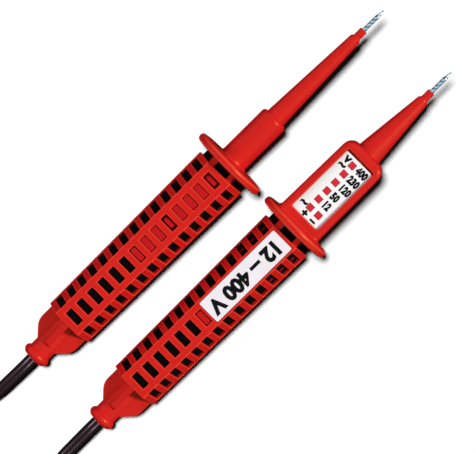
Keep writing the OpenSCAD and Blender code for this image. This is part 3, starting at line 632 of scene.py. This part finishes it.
def taper(g, ask, mesh):
    """Moves every point of the mesh, so that the grip grows along its length."""
    xyz = add(g, "ShaderNodeSeparateXYZ", (0, add(g, "GeometryNodeInputPosition").outputs[0])).outputs
    share = maths(g, "DIVIDE", maths(g, "SUBTRACT", xyz[0], ask["Tail"]), ask["Length"])
    level = maths(g, "MULTIPLY", maths(g, "ABSOLUTE", xyz[2]), 2.0)
    rise = maths(g, "DIVIDE", level, ask["Height"])
    slant = maths(g, "MULTIPLY", maths(g, "SUBTRACT", ask["Width"], ask["Flat"]), rise)
    width_here = maths(g, "SUBTRACT", ask["Width"], slant)
    wider = maths(g, "MULTIPLY", maths(g, "MULTIPLY", share, ask["Wider"]),
                  maths(g, "SUBTRACT", 1.0, rise))
    grow_y = maths(g, "ADD", 1.0, maths(g, "DIVIDE", wider, width_here))
    higher = maths(g, "MULTIPLY", share, ask["Higher"])
    grow_z = maths(g, "ADD", 1.0, maths(g, "DIVIDE", higher, ask["Height"]))
    moved = add(g, "ShaderNodeCombineXYZ", (0, xyz[0]), (1, maths(g, "MULTIPLY", xyz[1], grow_y)),
                (2, maths(g, "MULTIPLY", xyz[2], grow_z))).outputs[0]
    return add(g, "GeometryNodeSetPosition", ("Geometry", mesh), ("Position", moved)).outputs[0]


print("the grip gets", round(GRIP_W[1] - GRIP_W[0], 2), "mm wider")

# %% [markdown]
# ## The lattice group
# The two steps make one group, which serves both handles. Each handle could have its own group,
# but the plain grip and the display grip differ only in the number of open rings, so that is an
# input, and so is every size that the steps ask for.

# %% Lattice group
INPUTS = [("Open ring", "Object", None), ("Shut ring", "Object", None), ("Rings", "Int", COLUMNS),
          ("Open ones", "Int", COLUMNS), ("Start", "Float", WINDOW_X), ("Pitch", "Float", PITCH),
          ("Tail", "Float", GRIP_X), ("Length", "Float", LATTICE_X - GRIP_X),
          ("Width", "Float", GRIP_W[0]), ("Height", "Float", GRIP_H[0]), ("Flat", "Float", TOP_FLAT),
          ("Wider", "Float", GRIP_W[1] - GRIP_W[0]), ("Higher", "Float", GRIP_H[1] - GRIP_H[0]),
          ("Finish", "Material", None)]


def lattice_group():
    """The whole group, from its named inputs to the finish."""
    g = bpy.data.node_groups.new("lattice grip", "GeometryNodeTree")
    g.interface.new_socket("Geometry", in_out="INPUT", socket_type="NodeSocketGeometry")
    for name, kind, value in INPUTS:
        socket = g.interface.new_socket(name, in_out="INPUT", socket_type="NodeSocket" + kind)
        if value is not None:
            socket.default_value = value
    g.interface.new_socket("Geometry", in_out="OUTPUT", socket_type="NodeSocketGeometry")
    ask = g.nodes.new("NodeGroupInput").outputs
    tapered = taper(g, ask, row_of_rings(g, ask))
    done = add(g, "GeometryNodeSetMaterial", ("Geometry", tapered), ("Material", ask["Finish"]))
    g.links.new(done.outputs[0], g.nodes.new("NodeGroupOutput").inputs[0])
    return g


lattice = lattice_group()
print(len(lattice.nodes), "nodes in", lattice.name)

# %% [markdown]
# ## A grip as a mesh
# The export and the joining of parts need plain meshes. The group could stay on the object as a
# modifier, but then its rings would be lost in the export. So `run_lattice` runs it for one handle
# and leaves a mesh in millimetres.

# %% Grips


def run_lattice(name, open_ones):
    """The lattice of one handle as a mesh, in millimetres."""
    host = helper(name, ends)
    bpy.context.scene.collection.objects.link(host)
    for o in (open_ring, shut_ring):
        if o.name not in bpy.context.scene.collection.objects:
            bpy.context.scene.collection.objects.link(o)
    m = host.modifiers.new("lattice", "NODES")
    m.node_group = lattice
    given = {"Open ring": open_ring, "Shut ring": shut_ring, "Open ones": open_ones, "Finish": red}
    for socket in lattice.interface.items_tree:
        if socket.name in given:
            m[socket.identifier] = given[socket.name]
    graph = bpy.context.evaluated_depsgraph_get()
    mesh = bpy.data.meshes.new_from_object(host.evaluated_get(graph))
    host.modifiers.clear()
    bpy.data.objects.remove(host)
    return mesh


trial = run_lattice("trial", COLUMNS)
print("a grip:", len(trial.polygons), "faces")

# %% [markdown]
# ## Soft outer edges
# The outer edges of the moulded grip are softly rounded, and those deep in its windows are sharp.
# A Bevel modifier would round them all. So `tidy` merges what touches, turns the faces outward and
# rounds only the edges at the outer surface, which `at_surface` finds. The new faces get a mark, where
# the red plastic has a painted highlight.

# %% Rounded edges
DOUBLES, SHARP_FROM, GRIP_ROUNDING, GRIP_STEPS = 0.001, 0.4, 0.42, 3


def at_surface(v, slack=0.4):
    """Whether a point of a grip lies on its outer surface, in millimetres."""
    side, up = grip_half(v.co.x)
    out = side - TOP_FLAT / 2
    depth = (up * side - up * abs(v.co.y) - out * abs(v.co.z)) / math.hypot(up, out)
    return min(depth, up - abs(v.co.z)) < slack


def bevel(bm, edges, width, segments):
    """Rounds edges, and marks the new faces in the UV map edges, where the red plastics get a painted
    highlight or painted shade.
    """
    made = bmesh.ops.bevel(bm, geom=edges, offset=width, segments=segments, profile=0.5,
                           affect="EDGES", clamp_overlap=True)
    uv = bm.loops.layers.uv.get("edges") or bm.loops.layers.uv.new("edges")
    for f in made["faces"]:
        for corner in f.loops:
            corner[uv].uv = (1, 0)


def tidy(mesh, rounding=0.0, segments=1):
    """Turns the faces outward and rounds a grip's outer edges. Gives the count of open edges."""
    bm = bmesh.new()
    bm.from_mesh(mesh)
    bmesh.ops.remove_doubles(bm, verts=bm.verts, dist=DOUBLES)
    bmesh.ops.delete(bm, geom=[e for e in bm.edges if e.is_wire], context="EDGES")
    bmesh.ops.recalc_face_normals(bm, faces=bm.faces)
    if rounding:
        sharp = [e for e in bm.edges if e.calc_face_angle(0) > SHARP_FROM
                 and all(at_surface(v) for v in e.verts)]
        bevel(bm, sharp, rounding, segments)
    loose = sum(not e.is_manifold for e in bm.edges)
    bm.to_mesh(mesh)
    bm.free()
    return loose


print("a grip:", tidy(trial), "open edges")
bpy.data.meshes.remove(trial)

# %% [markdown]
# ## Turned shapes
# The guards, the barrel and the cones of the real tester are round. A Screw modifier could turn them
# from a profile, but `spun` makes a closed surface, bore and all, from one closed outline of points
# (x, radius). Its rounded edges are part of the outline, so `mark_edges` gives them the mark that
# `bevel` gives to others, for the red plastic's painted highlight.

# %% Turned shapes
TURN_STEPS = 72


def arc(x, r, radius, start, end, steps=6):
    """Points of an arc round (x, r), with the angles in degrees."""
    turns = [math.radians(start + (end - start) * i / steps) for i in range(steps + 1)]
    return [(x + radius * math.cos(t), r + radius * math.sin(t)) for t in turns]


def spun(name, outline):
    """A closed surface made by turning a closed outline round the x axis."""
    points, n = [], len(outline)
    for k in range(TURN_STEPS):
        t = 2 * math.pi * k / TURN_STEPS
        points += [(x, r * math.cos(t), r * math.sin(t)) for x, r in outline]
    faces = [[k * n + i, k * n + (i + 1) % n, (k + 1) % TURN_STEPS * n + (i + 1) % n,
              (k + 1) % TURN_STEPS * n + i] for k in range(TURN_STEPS) for i in range(n)]
    mesh = bpy.data.meshes.new(name)
    mesh.from_pydata(points, [], faces)
    return mesh


def mark_edges(mesh, test):
    """Marks the faces whose middle passes the test, as `bevel` does with rounded edges."""
    uv = mesh.uv_layers.new(name="edges", do_init=False)
    for f in mesh.polygons:
        for i in f.loop_indices:
            uv.uv[i].vector = (float(test(f.center)), 0)


print(TURN_STEPS, "steps in a turn")

# %% [markdown]
# ## The plain nose
# On the real tester a round guard keeps the fingers away from the live pin, which stands out of a
# barrel and a long cone. Each of them could be its own shape, joined to the next, but then every
# joint would need cleaning. One outline that runs along the outside and back along the bores makes
# the whole nose.

# %% Plain nose
BARREL_D, BARREL_LEN, PLAIN_CONE_D, PLAIN_CONE_LEN, FILLET = 13.4, 25.6, 9.7, 50.0, 1.9
CONE_TIP_D, CONE_CHAMFER, TIP_D, TIP_LEN, TIP_CHAMFER = 5.4, 1.1, 3.7, 4.4, 0.3
BORE_D, BORE_END, PIN_BORE_D, PIN_ROOT = 9.2, 18, 2.5, 70.0
LINER_R, LINER_DEEP, RIM_BAND = 10.6, 1.3, (0.95, 0.12)


def on_rim(at):
    """Whether a point lies on a round edge of the hand guard."""
    return RIM_BAND[0] > GUARD_D / 2 - math.hypot(at.y, at.z) > RIM_BAND[1]


def guard_outline(inner_r):
    """The guard's rear face and rim, as far as its front face."""
    r = GUARD_D / 2 - GUARD_ROUND
    return ([(GUARD_X, inner_r)] + arc(GUARD_X + GUARD_ROUND, r, GUARD_ROUND, 180, 90)
            + arc(NOSE_X - GUARD_ROUND, r, GUARD_ROUND, 90, 0))


def tip_outline(x, pin_root):
    """The end of a cone at x, its chamfer, the thin collar and the bore for the pin."""
    tip_x = x + CONE_CHAMFER
    end_x = tip_x + TIP_LEN
    return [(x, CONE_TIP_D / 2), (tip_x, TIP_D / 2), (end_x - TIP_CHAMFER, TIP_D / 2),
            (end_x, TIP_D / 2 - TIP_CHAMFER), (end_x, PIN_BORE_D / 2),
            (end_x - pin_root, PIN_BORE_D / 2)]


shoulder = (BARREL_D - PLAIN_CONE_D) / 2
plain_cone_x = NOSE_X + BARREL_LEN + shoulder
plain_outline = (guard_outline(LINER_R)
                 + arc(NOSE_X + FILLET, BARREL_D / 2 + FILLET, FILLET, 180, 270)
                 + arc(plain_cone_x - shoulder, PLAIN_CONE_D / 2, shoulder, 90, 0)
                 + tip_outline(plain_cone_x + PLAIN_CONE_LEN, PIN_ROOT)
                 + [(GUARD_X + BORE_END, PIN_BORE_D / 2), (GUARD_X + BORE_END, BORE_D / 2),
                    (GUARD_X + LINER_DEEP, BORE_D / 2), (GUARD_X + LINER_DEEP, LINER_R)])
plain_nose = spun("plain_nose", plain_outline)
# The guard's rim gets the mark for the red's painted highlight.
mark_edges(plain_nose, on_rim)
print("plain nose:", len(plain_nose.polygons), "faces,", tidy(plain_nose), "open edges")

# %% [markdown]
# ## Blocks, bars and cuts
# The housing of the display and the hollows in it have rounded corners in plan and in section. A
# bevelled cube has only one kind of corner. `skin` lays a surface over any row of rings, so `block`
# can give an upright block its corners and, level by level, its rim. `carve` then cuts such blocks
# out of a body, or joins them to it, with exact booleans.

# %% Blocks and cuts


def rounded(half_w, half_h, r, steps=5):
    """A rounded rectangle round (0, 0), as points (y, z)."""
    points = []
    for sy, sz, turn in ((1, 1, 0), (-1, 1, 90), (-1, -1, 180), (1, -1, 270)):
        points += arc(sy * (half_w - r), sz * (half_h - r), r, turn, turn + 90, steps)
    return points


def skin(name, rings):
    """A closed surface over rings of the same number of points."""
    n, last = len(rings[0]), len(rings) - 1
    faces = [[s * n + i, s * n + (i + 1) % n, (s + 1) * n + (i + 1) % n, (s + 1) * n + i]
             for s in range(last) for i in range(n)]
    faces += [list(range(n))[::-1], [last * n + i for i in range(n)]]
    mesh = bpy.data.meshes.new(name)
    mesh.from_pydata([p for ring in rings for p in ring], [], faces)
    tidy(mesh)
    return mesh


def block(name, x0, x1, half_w, levels, r=0.05):
    """An upright block with rounded corners in plan. Each level is its height z and its growth."""
    rings = []
    for z, grow in levels:
        plan = rounded((x1 - x0) / 2 + grow, half_w + grow, r + grow, 3)
        rings.append([((x0 + x1) / 2 + p, q, z) for p, q in plan])
    return skin(name, rings)


def rod(name, x0, x1, r):
    """A round bar on the handle's axis."""
    mesh = spun(name, [(x0, 0), (x0, r), (x1, r), (x1, 0)])
    tidy(mesh)
    return mesh


def carve(mesh, cutters, operation="DIFFERENCE"):
    """The mesh after an exact cut with, or union with, each of the cutters."""
    body = helper("body", mesh)
    bpy.context.scene.collection.objects.link(body)
    tools = [helper("tool", c) for c in cutters]
    for tool in tools:
        m = body.modifiers.new("cut", "BOOLEAN")
        m.operation, m.object, m.solver = operation, tool, "EXACT"
    graph = bpy.context.evaluated_depsgraph_get()
    out = bpy.data.meshes.new_from_object(body.evaluated_get(graph))
    for o in [body] + tools:
        bpy.data.objects.remove(o)
    return out


print(len(rounded(1, 1, 0.5)), "points round a section")

# %% [markdown]
# ## The display housing
# The display handle has a flat-topped box between its guard and its cone, with a panel of lamps
# sunk in it. Its sides narrow and its front corners are round in plan, while its top bends down in
# the side view, so one bevel can't give both. The housing is a row of rounded rectangles instead,
# each with the width that the plan gives and the height that the side view gives. The recess and
# the chamber under it are then cut out of the housing, the guard and the cone together.

# %% Display housing
HOUSING_LEN, HOUSING_W, HOUSING_H, HOUSING_EDGE = 45.0, (23.4, 22.3), 21.0, 2.6
HOUSING_CORNER, HOUSING_BROW, HOUSING_REAR = 5.2, 3.0, -0.8
DISPLAY_CONE_X, DISPLAY_CONE_D, DISPLAY_CONE_LEN = NOSE_X + HOUSING_LEN, 12.2, 33.6
CONE_ROOT, THROUGH = 6.0, 1.0


def housing_section(x):
    """The housing's section at x, from the housing's own rear end."""
    half_w = HOUSING_W[0] / 2 + (HOUSING_W[1] - HOUSING_W[0]) / 2 * x / (HOUSING_LEN - HOUSING_CORNER)
    half_h = HOUSING_H / 2
    if x < FILLET:
        grow = FILLET - math.sqrt(FILLET ** 2 - (FILLET - max(x, 0)) ** 2)
        half_w, half_h = half_w + grow, half_h + grow
    past = max(x - (HOUSING_LEN - HOUSING_CORNER), 0)
    if past:
        half_w = HOUSING_W[1] / 2 - HOUSING_CORNER + math.sqrt(max(HOUSING_CORNER ** 2 - past ** 2, 0))
    past = max(x - (HOUSING_LEN - HOUSING_BROW), 0)
    half_h += math.sqrt(max(HOUSING_BROW ** 2 - past ** 2, 0)) - HOUSING_BROW
    return [(NOSE_X + x, y, z) for y, z in rounded(half_w, half_h, HOUSING_EDGE)]


foot = [FILLET * (1 - math.cos(math.radians(a))) for a in range(0, 91, 15)]
corner = [HOUSING_LEN - HOUSING_CORNER * (1 - math.sin(math.radians(a)))
          for a in (0, 15, 25, 35, 45, 55, 62, 69, 76, 83, 90)]
housing = skin("housing", [housing_section(x) for x in [HOUSING_REAR] + foot + corner])
cone_tip = tip_outline(DISPLAY_CONE_X + DISPLAY_CONE_LEN, 0)[:-2]
cone = spun("cone", [(DISPLAY_CONE_X - CONE_ROOT, 0),
                     (DISPLAY_CONE_X - CONE_ROOT + THROUGH, DISPLAY_CONE_D / 2),
                     (DISPLAY_CONE_X, DISPLAY_CONE_D / 2)] + cone_tip + [(cone_tip[-1][0], 0)])
disc = spun("disc", guard_outline(0) + [(NOSE_X, 0)])
for turned in (cone, disc):
    tidy(turned)
# The guard's rim gets the mark for the red's painted highlight.
mark_edges(disc, on_rim)
print("housing:", len(housing.polygons), "faces, cone:", len(cone.polygons), "faces")

# %% [markdown]
# ## The display nose
# The nose is hollow on the real tester: the panel, its circuit board and the pin's contact sit in
# it. A dark patch could stand for the recess, but only a real hollow has real shadows, so all its
# hollows are cut here. The lip of the recess is a row of levels that grow, which rounds it.

# %% Display nose
RECESS_START, RECESS_LEN, RECESS_W, RECESS_R, RECESS_DEPTH = 4.5, 36.0, 16.0, 0.8, 1.4
RECESS_LIP = ((-0.45, 0), (-0.2, 0.06), (-0.06, 0.2), (0, 0.4), (2, 2.4))
PANEL_T, PANEL_LEDGE, CHAMBER_FLOOR, CHAMBER_LAP = 1.2, 0.8, -2.4, 0.3
CONTACT_D, CONTACT_LEN, FIT = 3.8, 5.0, 0.2
RECESS_X, PANEL_TOP = NOSE_X + RECESS_START, HOUSING_H / 2 - RECESS_DEPTH
RECESS_END = RECESS_X + RECESS_LEN
CONTACT_X = RECESS_END - 2 * PANEL_LEDGE + FIT
top, floor_z = HOUSING_H / 2, PANEL_TOP - PANEL_T
recess = block("recess", RECESS_X, RECESS_END, RECESS_W / 2,
               [(floor_z, 0)] + [(top + z, grow) for z, grow in RECESS_LIP], RECESS_R)
# The recess lip gets the mark for the red's painted highlight.
mark_edges(recess, lambda at: RECESS_LIP[0][0] < at.z - top < 0)
chamber = block("chamber", GUARD_X - THROUGH, RECESS_END - PANEL_LEDGE,
                RECESS_W / 2 - PANEL_LEDGE, [(CHAMBER_FLOOR, 0), (floor_z + CHAMBER_LAP, 0)])
liner_seat = rod("liner_seat", GUARD_X - THROUGH, GUARD_X + LINER_DEEP, LINER_R)
contact_seat = rod("contact_seat", RECESS_END - 2 * THROUGH, CONTACT_X + CONTACT_LEN + FIT,
                   CONTACT_D / 2 + FIT)
pin_bore = rod("pin_bore", CONTACT_X, DISPLAY_END, PIN_BORE_D / 2)
display_nose = carve(carve(disc, [housing, cone], "UNION"),
                     [recess, chamber, liner_seat, contact_seat, pin_bore])
print("display nose:", len(display_nose.polygons), "faces,", tidy(display_nose), "open edges")

# %% [markdown]
# ## Showing a piece
# The exact solids are made of plain triangles, whose shading breaks at every edge. A finer mesh
# could just be smoothed, but then its flat faces look swollen beside the rounded edges.

# %% Shown pieces
SMOOTH_TO = 35


def show(name, mesh, side, finish, slot, *replaced):
    """Puts a mesh in the scene as a finished piece that stands for CAD nodes."""
    if side:
        mesh.transform(PLACE[side])
    mesh.shade_smooth()
    mesh.set_sharp_from_angle(angle=math.radians(SMOOTH_TO))
    piece = bpy.data.objects.new(name, mesh)
    bpy.context.scene.collection.objects.link(piece)
    piece.modifiers.new("normals", "WEIGHTED_NORMAL").keep_sharp = True
    graph = bpy.context.evaluated_depsgraph_get()
    piece.data = bpy.data.meshes.new_from_object(piece.evaluated_get(graph))
    piece.modifiers.clear()
    piece.data.materials.clear()
    piece.data.materials.append(finish)
    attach(piece, "root")
    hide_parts(*replaced)
    return piece


def joined(*meshes):
    """One mesh with the faces of several."""
    bm = bmesh.new()
    for mesh in meshes:
        bm.from_mesh(mesh)
    out = bpy.data.meshes.new("joined")
    bm.to_mesh(out)
    bm.free()
    return out


def on_top(mesh, x):
    """Moves a mesh from round (0, 0, 0) to the top of a grip at x, along its slope."""
    slope = math.atan((GRIP_H[1] - GRIP_H[0]) / 2 / (LATTICE_X - GRIP_X))
    mesh.transform(Matrix.Translation((x, 0, grip_half(x)[1])) @ Matrix.Rotation(-slope, 4, "Y"))
    return mesh


print("edges over", SMOOTH_TO, "degrees stay sharp")

# %% [markdown]
# ## The finished handles
# Each real handle is one red moulding from the grip's tail end to the tip of its cone. Its grip, neck
# and nose could stay three pieces, but joined they are one, as their exact solid is. The bed of the
# name plate is cut into the display grip first. Each neck gets a black core, as painted shade between
# its bars.

# %% Handles
PLATE_X, PLATE_LEN, PLATE_W, PLATE_T, PLATE_PROUD, PLATE_GAP = 70.66, 46.8, 11.7, 1.0, 0.1, 0.15
PLATE_AFTER, PLATE_MIDDLE = 7, PLATE_X + PLATE_LEN / 2
BED_CORNER, BED_LIP, BED_DEEPER = 0.85, ((-0.25, 0), (0, 0.15), (1, 1.15)), 0.1
NECK_INSET, NECK_WALL, NECK_OVERLAP = 1.2, 1.8, 0.3
NECK_WINDOWS = (0, 1, 4, 7, 8, 9, 10, 13, 16, 17)
CORE_SET_BACK, CORE_GAP = 0.5, 0.02


def neck():
    """The neck's bars, and a black core between them as painted shade."""
    bars = ring_mesh("neck", [(LATTICE_X - NECK_OVERLAP, SHUT), (LATTICE_X, OPEN), (GUARD_X, SHUT),
                              (GUARD_X + NECK_OVERLAP, NONE)], GRIP_W[1], GRIP_H[1], NECK_INSET,
                     NECK_WALL, caps=(True, True), windows=NECK_WINDOWS)
    core = ring_mesh("core", [(LATTICE_X + CORE_GAP, SHUT), (GUARD_X - CORE_GAP, NONE)], GRIP_W[1],
                     GRIP_H[1], NECK_INSET + CORE_SET_BACK, NECK_WALL - CORE_SET_BACK,
                     caps=(True, True))
    for part in (bars, core):
        tidy(part)
    return bars, carve(core, [bars])


half = PLATE_LEN / 2 + PLATE_GAP
bed = block("bed", -half, half, PLATE_W / 2 + PLATE_GAP,
            ((PLATE_PROUD - PLATE_T - BED_DEEPER, 0), *BED_LIP), BED_CORNER)
on_top(bed, PLATE_MIDDLE)
shade_cores = {}
for side, rings, nose in (("plain", COLUMNS, plain_nose), ("display", PLATE_AFTER, display_nose)):
    grip = run_lattice(side, rings)
    tidy(grip, GRIP_ROUNDING, GRIP_STEPS)
    if side == "display":
        grip = carve(grip, [bed])
        tidy(grip)
    bars, shade_cores[side] = neck()
    handle = show(side + "_handle", joined(grip, bars, nose), side, red, "red_plastic",
                  side + "_shell")
    print(handle.name, len(handle.data.polygons), "faces")
for o in (open_ring, shut_ring):
    bpy.data.objects.remove(o)

# %% [markdown]
# ## Finer small parts
# On the real tester no edge of the small mouldings is sharp. They could be built anew with rounded
# edges, but their exact solids are already there. `finer` copies such a solid and rounds its edges
# with a bevel, so the copy keeps the solid's size and place.

# %% Finer copies
FLAT_TO, ROUND_FROM = math.radians(1), 0.6


def finer(name, slot, finish, rounding=0.0, segments=2, reshape=None):
    """A copy of a CAD part, reshaped and with rounded edges. Gives the count of open edges."""
    mesh = nodes[name].data.copy()
    mesh.transform(nodes[name].matrix_world)
    if reshape:
        place = PLACE[name.split("_")[0]]
        mesh.transform(place.inverted())
        for v in mesh.vertices:
            reshape(v.co)
        mesh.transform(place)
    bm = bmesh.new()
    bm.from_mesh(mesh)
    bmesh.ops.remove_doubles(bm, verts=bm.verts, dist=DOUBLES * MM)
    bmesh.ops.dissolve_limit(bm, angle_limit=FLAT_TO, verts=bm.verts, edges=bm.edges)
    sharp = [e for e in bm.edges if rounding and e.is_manifold and e.calc_face_angle(0) > ROUND_FROM]
    bevel(bm, sharp, rounding * MM, segments)
    bmesh.ops.recalc_face_normals(bm, faces=bm.faces)
    loose = sum(not e.is_manifold for e in bm.edges)
    bm.to_mesh(mesh)
    bm.free()
    show(name + "_fine", mesh, None, finish, slot, name)
    return loose


print("edges from", round(math.degrees(ROUND_FROM)), "degrees up are rounded")

# %% [markdown]
# ## Parts that the photograph shows a little different
# The wings of a real tail plug get thinner to their edges. The windows look deep round the carrier's
# pads, and two round catches show in them. The teeth of the display's carrier stand in the side
# windows. The panel ends before its recess, which leaves a dark gap, and the black liners, whose black
# is painted shade, stand close behind the windows. These parts could be edited by hand, but a small
# function that moves one point, in the handle's own millimetres, says in words what is changed.

# %% Reshaped parts
WING_ROOT, WING_TIP, WING_THIN = 5.3, 10.8, 0.55
SHELL_WALL, CARRIER_START, TOP_SINKS, NEAR = 2.0, 1.0, 2.0, 0.02
CARRIER_X = WINDOW_X + (PLATE_AFTER - 1) * PITCH - CARRIER_START
CARRIER_TOP = grip_half(CARRIER_X)[1] - SHELL_WALL - FIT
CATCH_AT = [WINDOW_X + i * PITCH + WINDOW_LEN / 2 for i in (PLATE_AFTER + 2, PLATE_AFTER + 6)]
CATCH_SMALLER, TOOTH_ROOT, TOOTH_WIDER, TOOTH_RISE = 0.82, 7.6, 1.13, 1.6
PANEL_GAP, LINER_SWELL = 1.1, 1.071


def thin_wing(p):
    """Thins the tail plug's wings, from their root to their edge."""
    if p.x < GRIP_X - NEAR / 2 and abs(p.y) > WING_ROOT:
        p.z *= 1 - WING_THIN * (abs(p.y) - WING_ROOT) / (WING_TIP - WING_ROOT)


def deep_windows(p):
    """Lowers the top of a carrier and shrinks the two round catches on it."""
    if p.z < CARRIER_TOP - NEAR:
        return
    for middle in CATCH_AT:
        if abs(p.x - middle) < WINDOW_LEN / 2:
            p.x, p.y = middle + (p.x - middle) * CATCH_SMALLER, p.y * CATCH_SMALLER
    if p.z < CARRIER_TOP + NEAR:
        p.z -= TOP_SINKS


def raised_teeth(p):
    """Brings the teeth of the display's carrier out to the side windows."""
    if abs(p.y) > TOOTH_ROOT:
        p.y, p.z = p.y * TOOTH_WIDER, p.z + TOOTH_RISE
    deep_windows(p)


def short_panel(p):
    """Ends the panel before the recess does."""
    if p.x > RECESS_END - 1:
        p.x -= PANEL_GAP


def swollen(p):
    """Brings a liner close to the windows, where its black is painted shade."""
    p.y, p.z = p.y * LINER_SWELL, p.z * LINER_SWELL


loose = [finer(side + "_tail_plug", "red_plastic", red, 0.35, reshape=thin_wing) for side in PLACE]
loose += [finer("plain_carrier", "red_plastic", shaded_pad_red, 0.45, reshape=deep_windows),
          finer("display_carrier", "red_plastic", shaded_inner_red, 0.25, reshape=raised_teeth),
          finer("name_plate", "white_plate", plate, 0.2),
          finer("display_panel", "display_panel", panel, 0.08, 1, reshape=short_panel)]
loose += [finer(name, "lamp", lamp_red, 0.25) for name in nodes if name.startswith("led_")]
# The liners' black shows through the windows as painted shade.
for side in PLACE:
    loose.append(finer(side + "_liner", "black_liner", liner, reshape=swollen))
    # The black core is painted shade between the neck's bars.
    show(side + "_neck_core", shade_cores[side], side, liner, "black_liner")
print(len(loose), "finer parts,", sum(loose), "open edges")

# %% [markdown]
# ## Letters
# The signs beside the lamps are printed on the real panel. A picture on it would blur in close
# views. Very thin letters that stand on the panel stay sharp, and their text can be read in the
# code, so `mark` makes each sign as a text that becomes a mesh.

# %% Letters
ink = grain(material("ink", (0.004, 0.004, 0.005), 0.6, specular=0.05), 900, 0.00001)
INK_T = 0.03


def mark(text, x, y, size, turn=-90, squeeze=1.0, align="CENTER", bold=0.36, spacing=1.0):
    """Letters at (x, y) on height 0; turn is their reading direction in degrees."""
    curve = bpy.data.curves.new("mark", "FONT")
    curve.body, curve.size, curve.align_x, curve.align_y = text, size, align, "CENTER"
    curve.extrude, curve.offset, curve.resolution_u = INK_T, bold, 3
    curve.space_character = spacing
    o = helper("mark", curve)
    bpy.context.scene.collection.objects.link(o)
    bpy.context.view_layer.update()
    mesh = bpy.data.meshes.new_from_object(o.evaluated_get(bpy.context.evaluated_depsgraph_get()))
    bpy.data.objects.remove(o)
    mesh.transform(Matrix.Rotation(math.radians(turn), 4, "Z") @ Matrix.Diagonal((squeeze, 1, 1, 1)))
    mesh.transform(Matrix.Translation((x, y, 0)))
    return mesh


print(ink.name, "stands", INK_T, "mm proud")

# %% [markdown]
# ## Markings
# The panel has a number beside each lamp but the first, and plain signs at both ends. The numbers
# are narrow and bold, as printed ones are. The name plate shows the tester's range in larger
# letters that read along the handle. All could be one piece, but the plate slopes with the grip,
# so its letters are made flat and then moved onto it.

# %% Markings
FIRST_LAMP, LAST_LAMP, NUMBERS = 5.2, 4.5, ("12", "50", "120", "230", "400")
LAMP_PITCH = (RECESS_LEN - FIRST_LAMP - LAST_LAMP) / len(NUMBERS)
LED_X = [RECESS_X + FIRST_LAMP + i * LAMP_PITCH for i in range(len(NUMBERS) + 1)]
NUMBER_SIZE, NUMBER_SHIFT, NUMBER_Y, NARROW, SPACED = 4.8, 0.2, -1.3, 0.72, 1.1
SIGNS = (("+", 132.4, 1.5, 4.6), ("\u2013", 132.5, -3.6, 4.4), ("~", LED_X[0], 5.1, 5.6),
         ("V", LED_X[-1] + 0.3, 5.0, 3.9), ("~", LED_X[-1] - 2.7, 5.0, 5.6))
marks = [mark(text, x + NUMBER_SHIFT, NUMBER_Y, NUMBER_SIZE, squeeze=NARROW, align="LEFT",
              spacing=SPACED) for x, text in zip(LED_X[1:], NUMBERS)]
marks += [mark(*sign) for sign in SIGNS]
on_panel = joined(*marks)
on_panel.transform(Matrix.Translation((0, 0, PANEL_TOP)))
panel_marks = show("panel_marks", on_panel, "display", ink, None)
on_plate = on_top(mark("12 \u2013 400 V", 0, 0, 9.4, turn=180, bold=0.5), PLATE_MIDDLE)
on_plate.transform(Matrix.Translation((0, 0, PLATE_PROUD)))
plate_marks = show("plate_marks", on_plate, "display", ink, None)
print(len(panel_marks.data.polygons) + len(plate_marks.data.polygons), "faces in the letters")

# %% [markdown]
# ## Which lamp lights what
# In a studio each lamp is screened off from what it shouldn't light. Blender's light linking does
# the same without screens. The key, the fill and the dome light only the tester, the strips only
# the lead, and the table lamp only the table, so that the table stays white and still shows the
# tester's shadow.

# %% Light linking
groups = {}
for name, members in (("things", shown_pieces()), ("table_only", [table]), ("lead_only", [lead])):
    groups[name] = bpy.data.collections.new(name)
    for o in members:
        groups[name].objects.link(o)
for lamp in (key, fill, dome):
    lamp.light_linking.receiver_collection = groups["things"]
table_lamp.light_linking.receiver_collection = groups["table_only"]
for strip in strips:
    strip.light_linking.receiver_collection = groups["lead_only"]
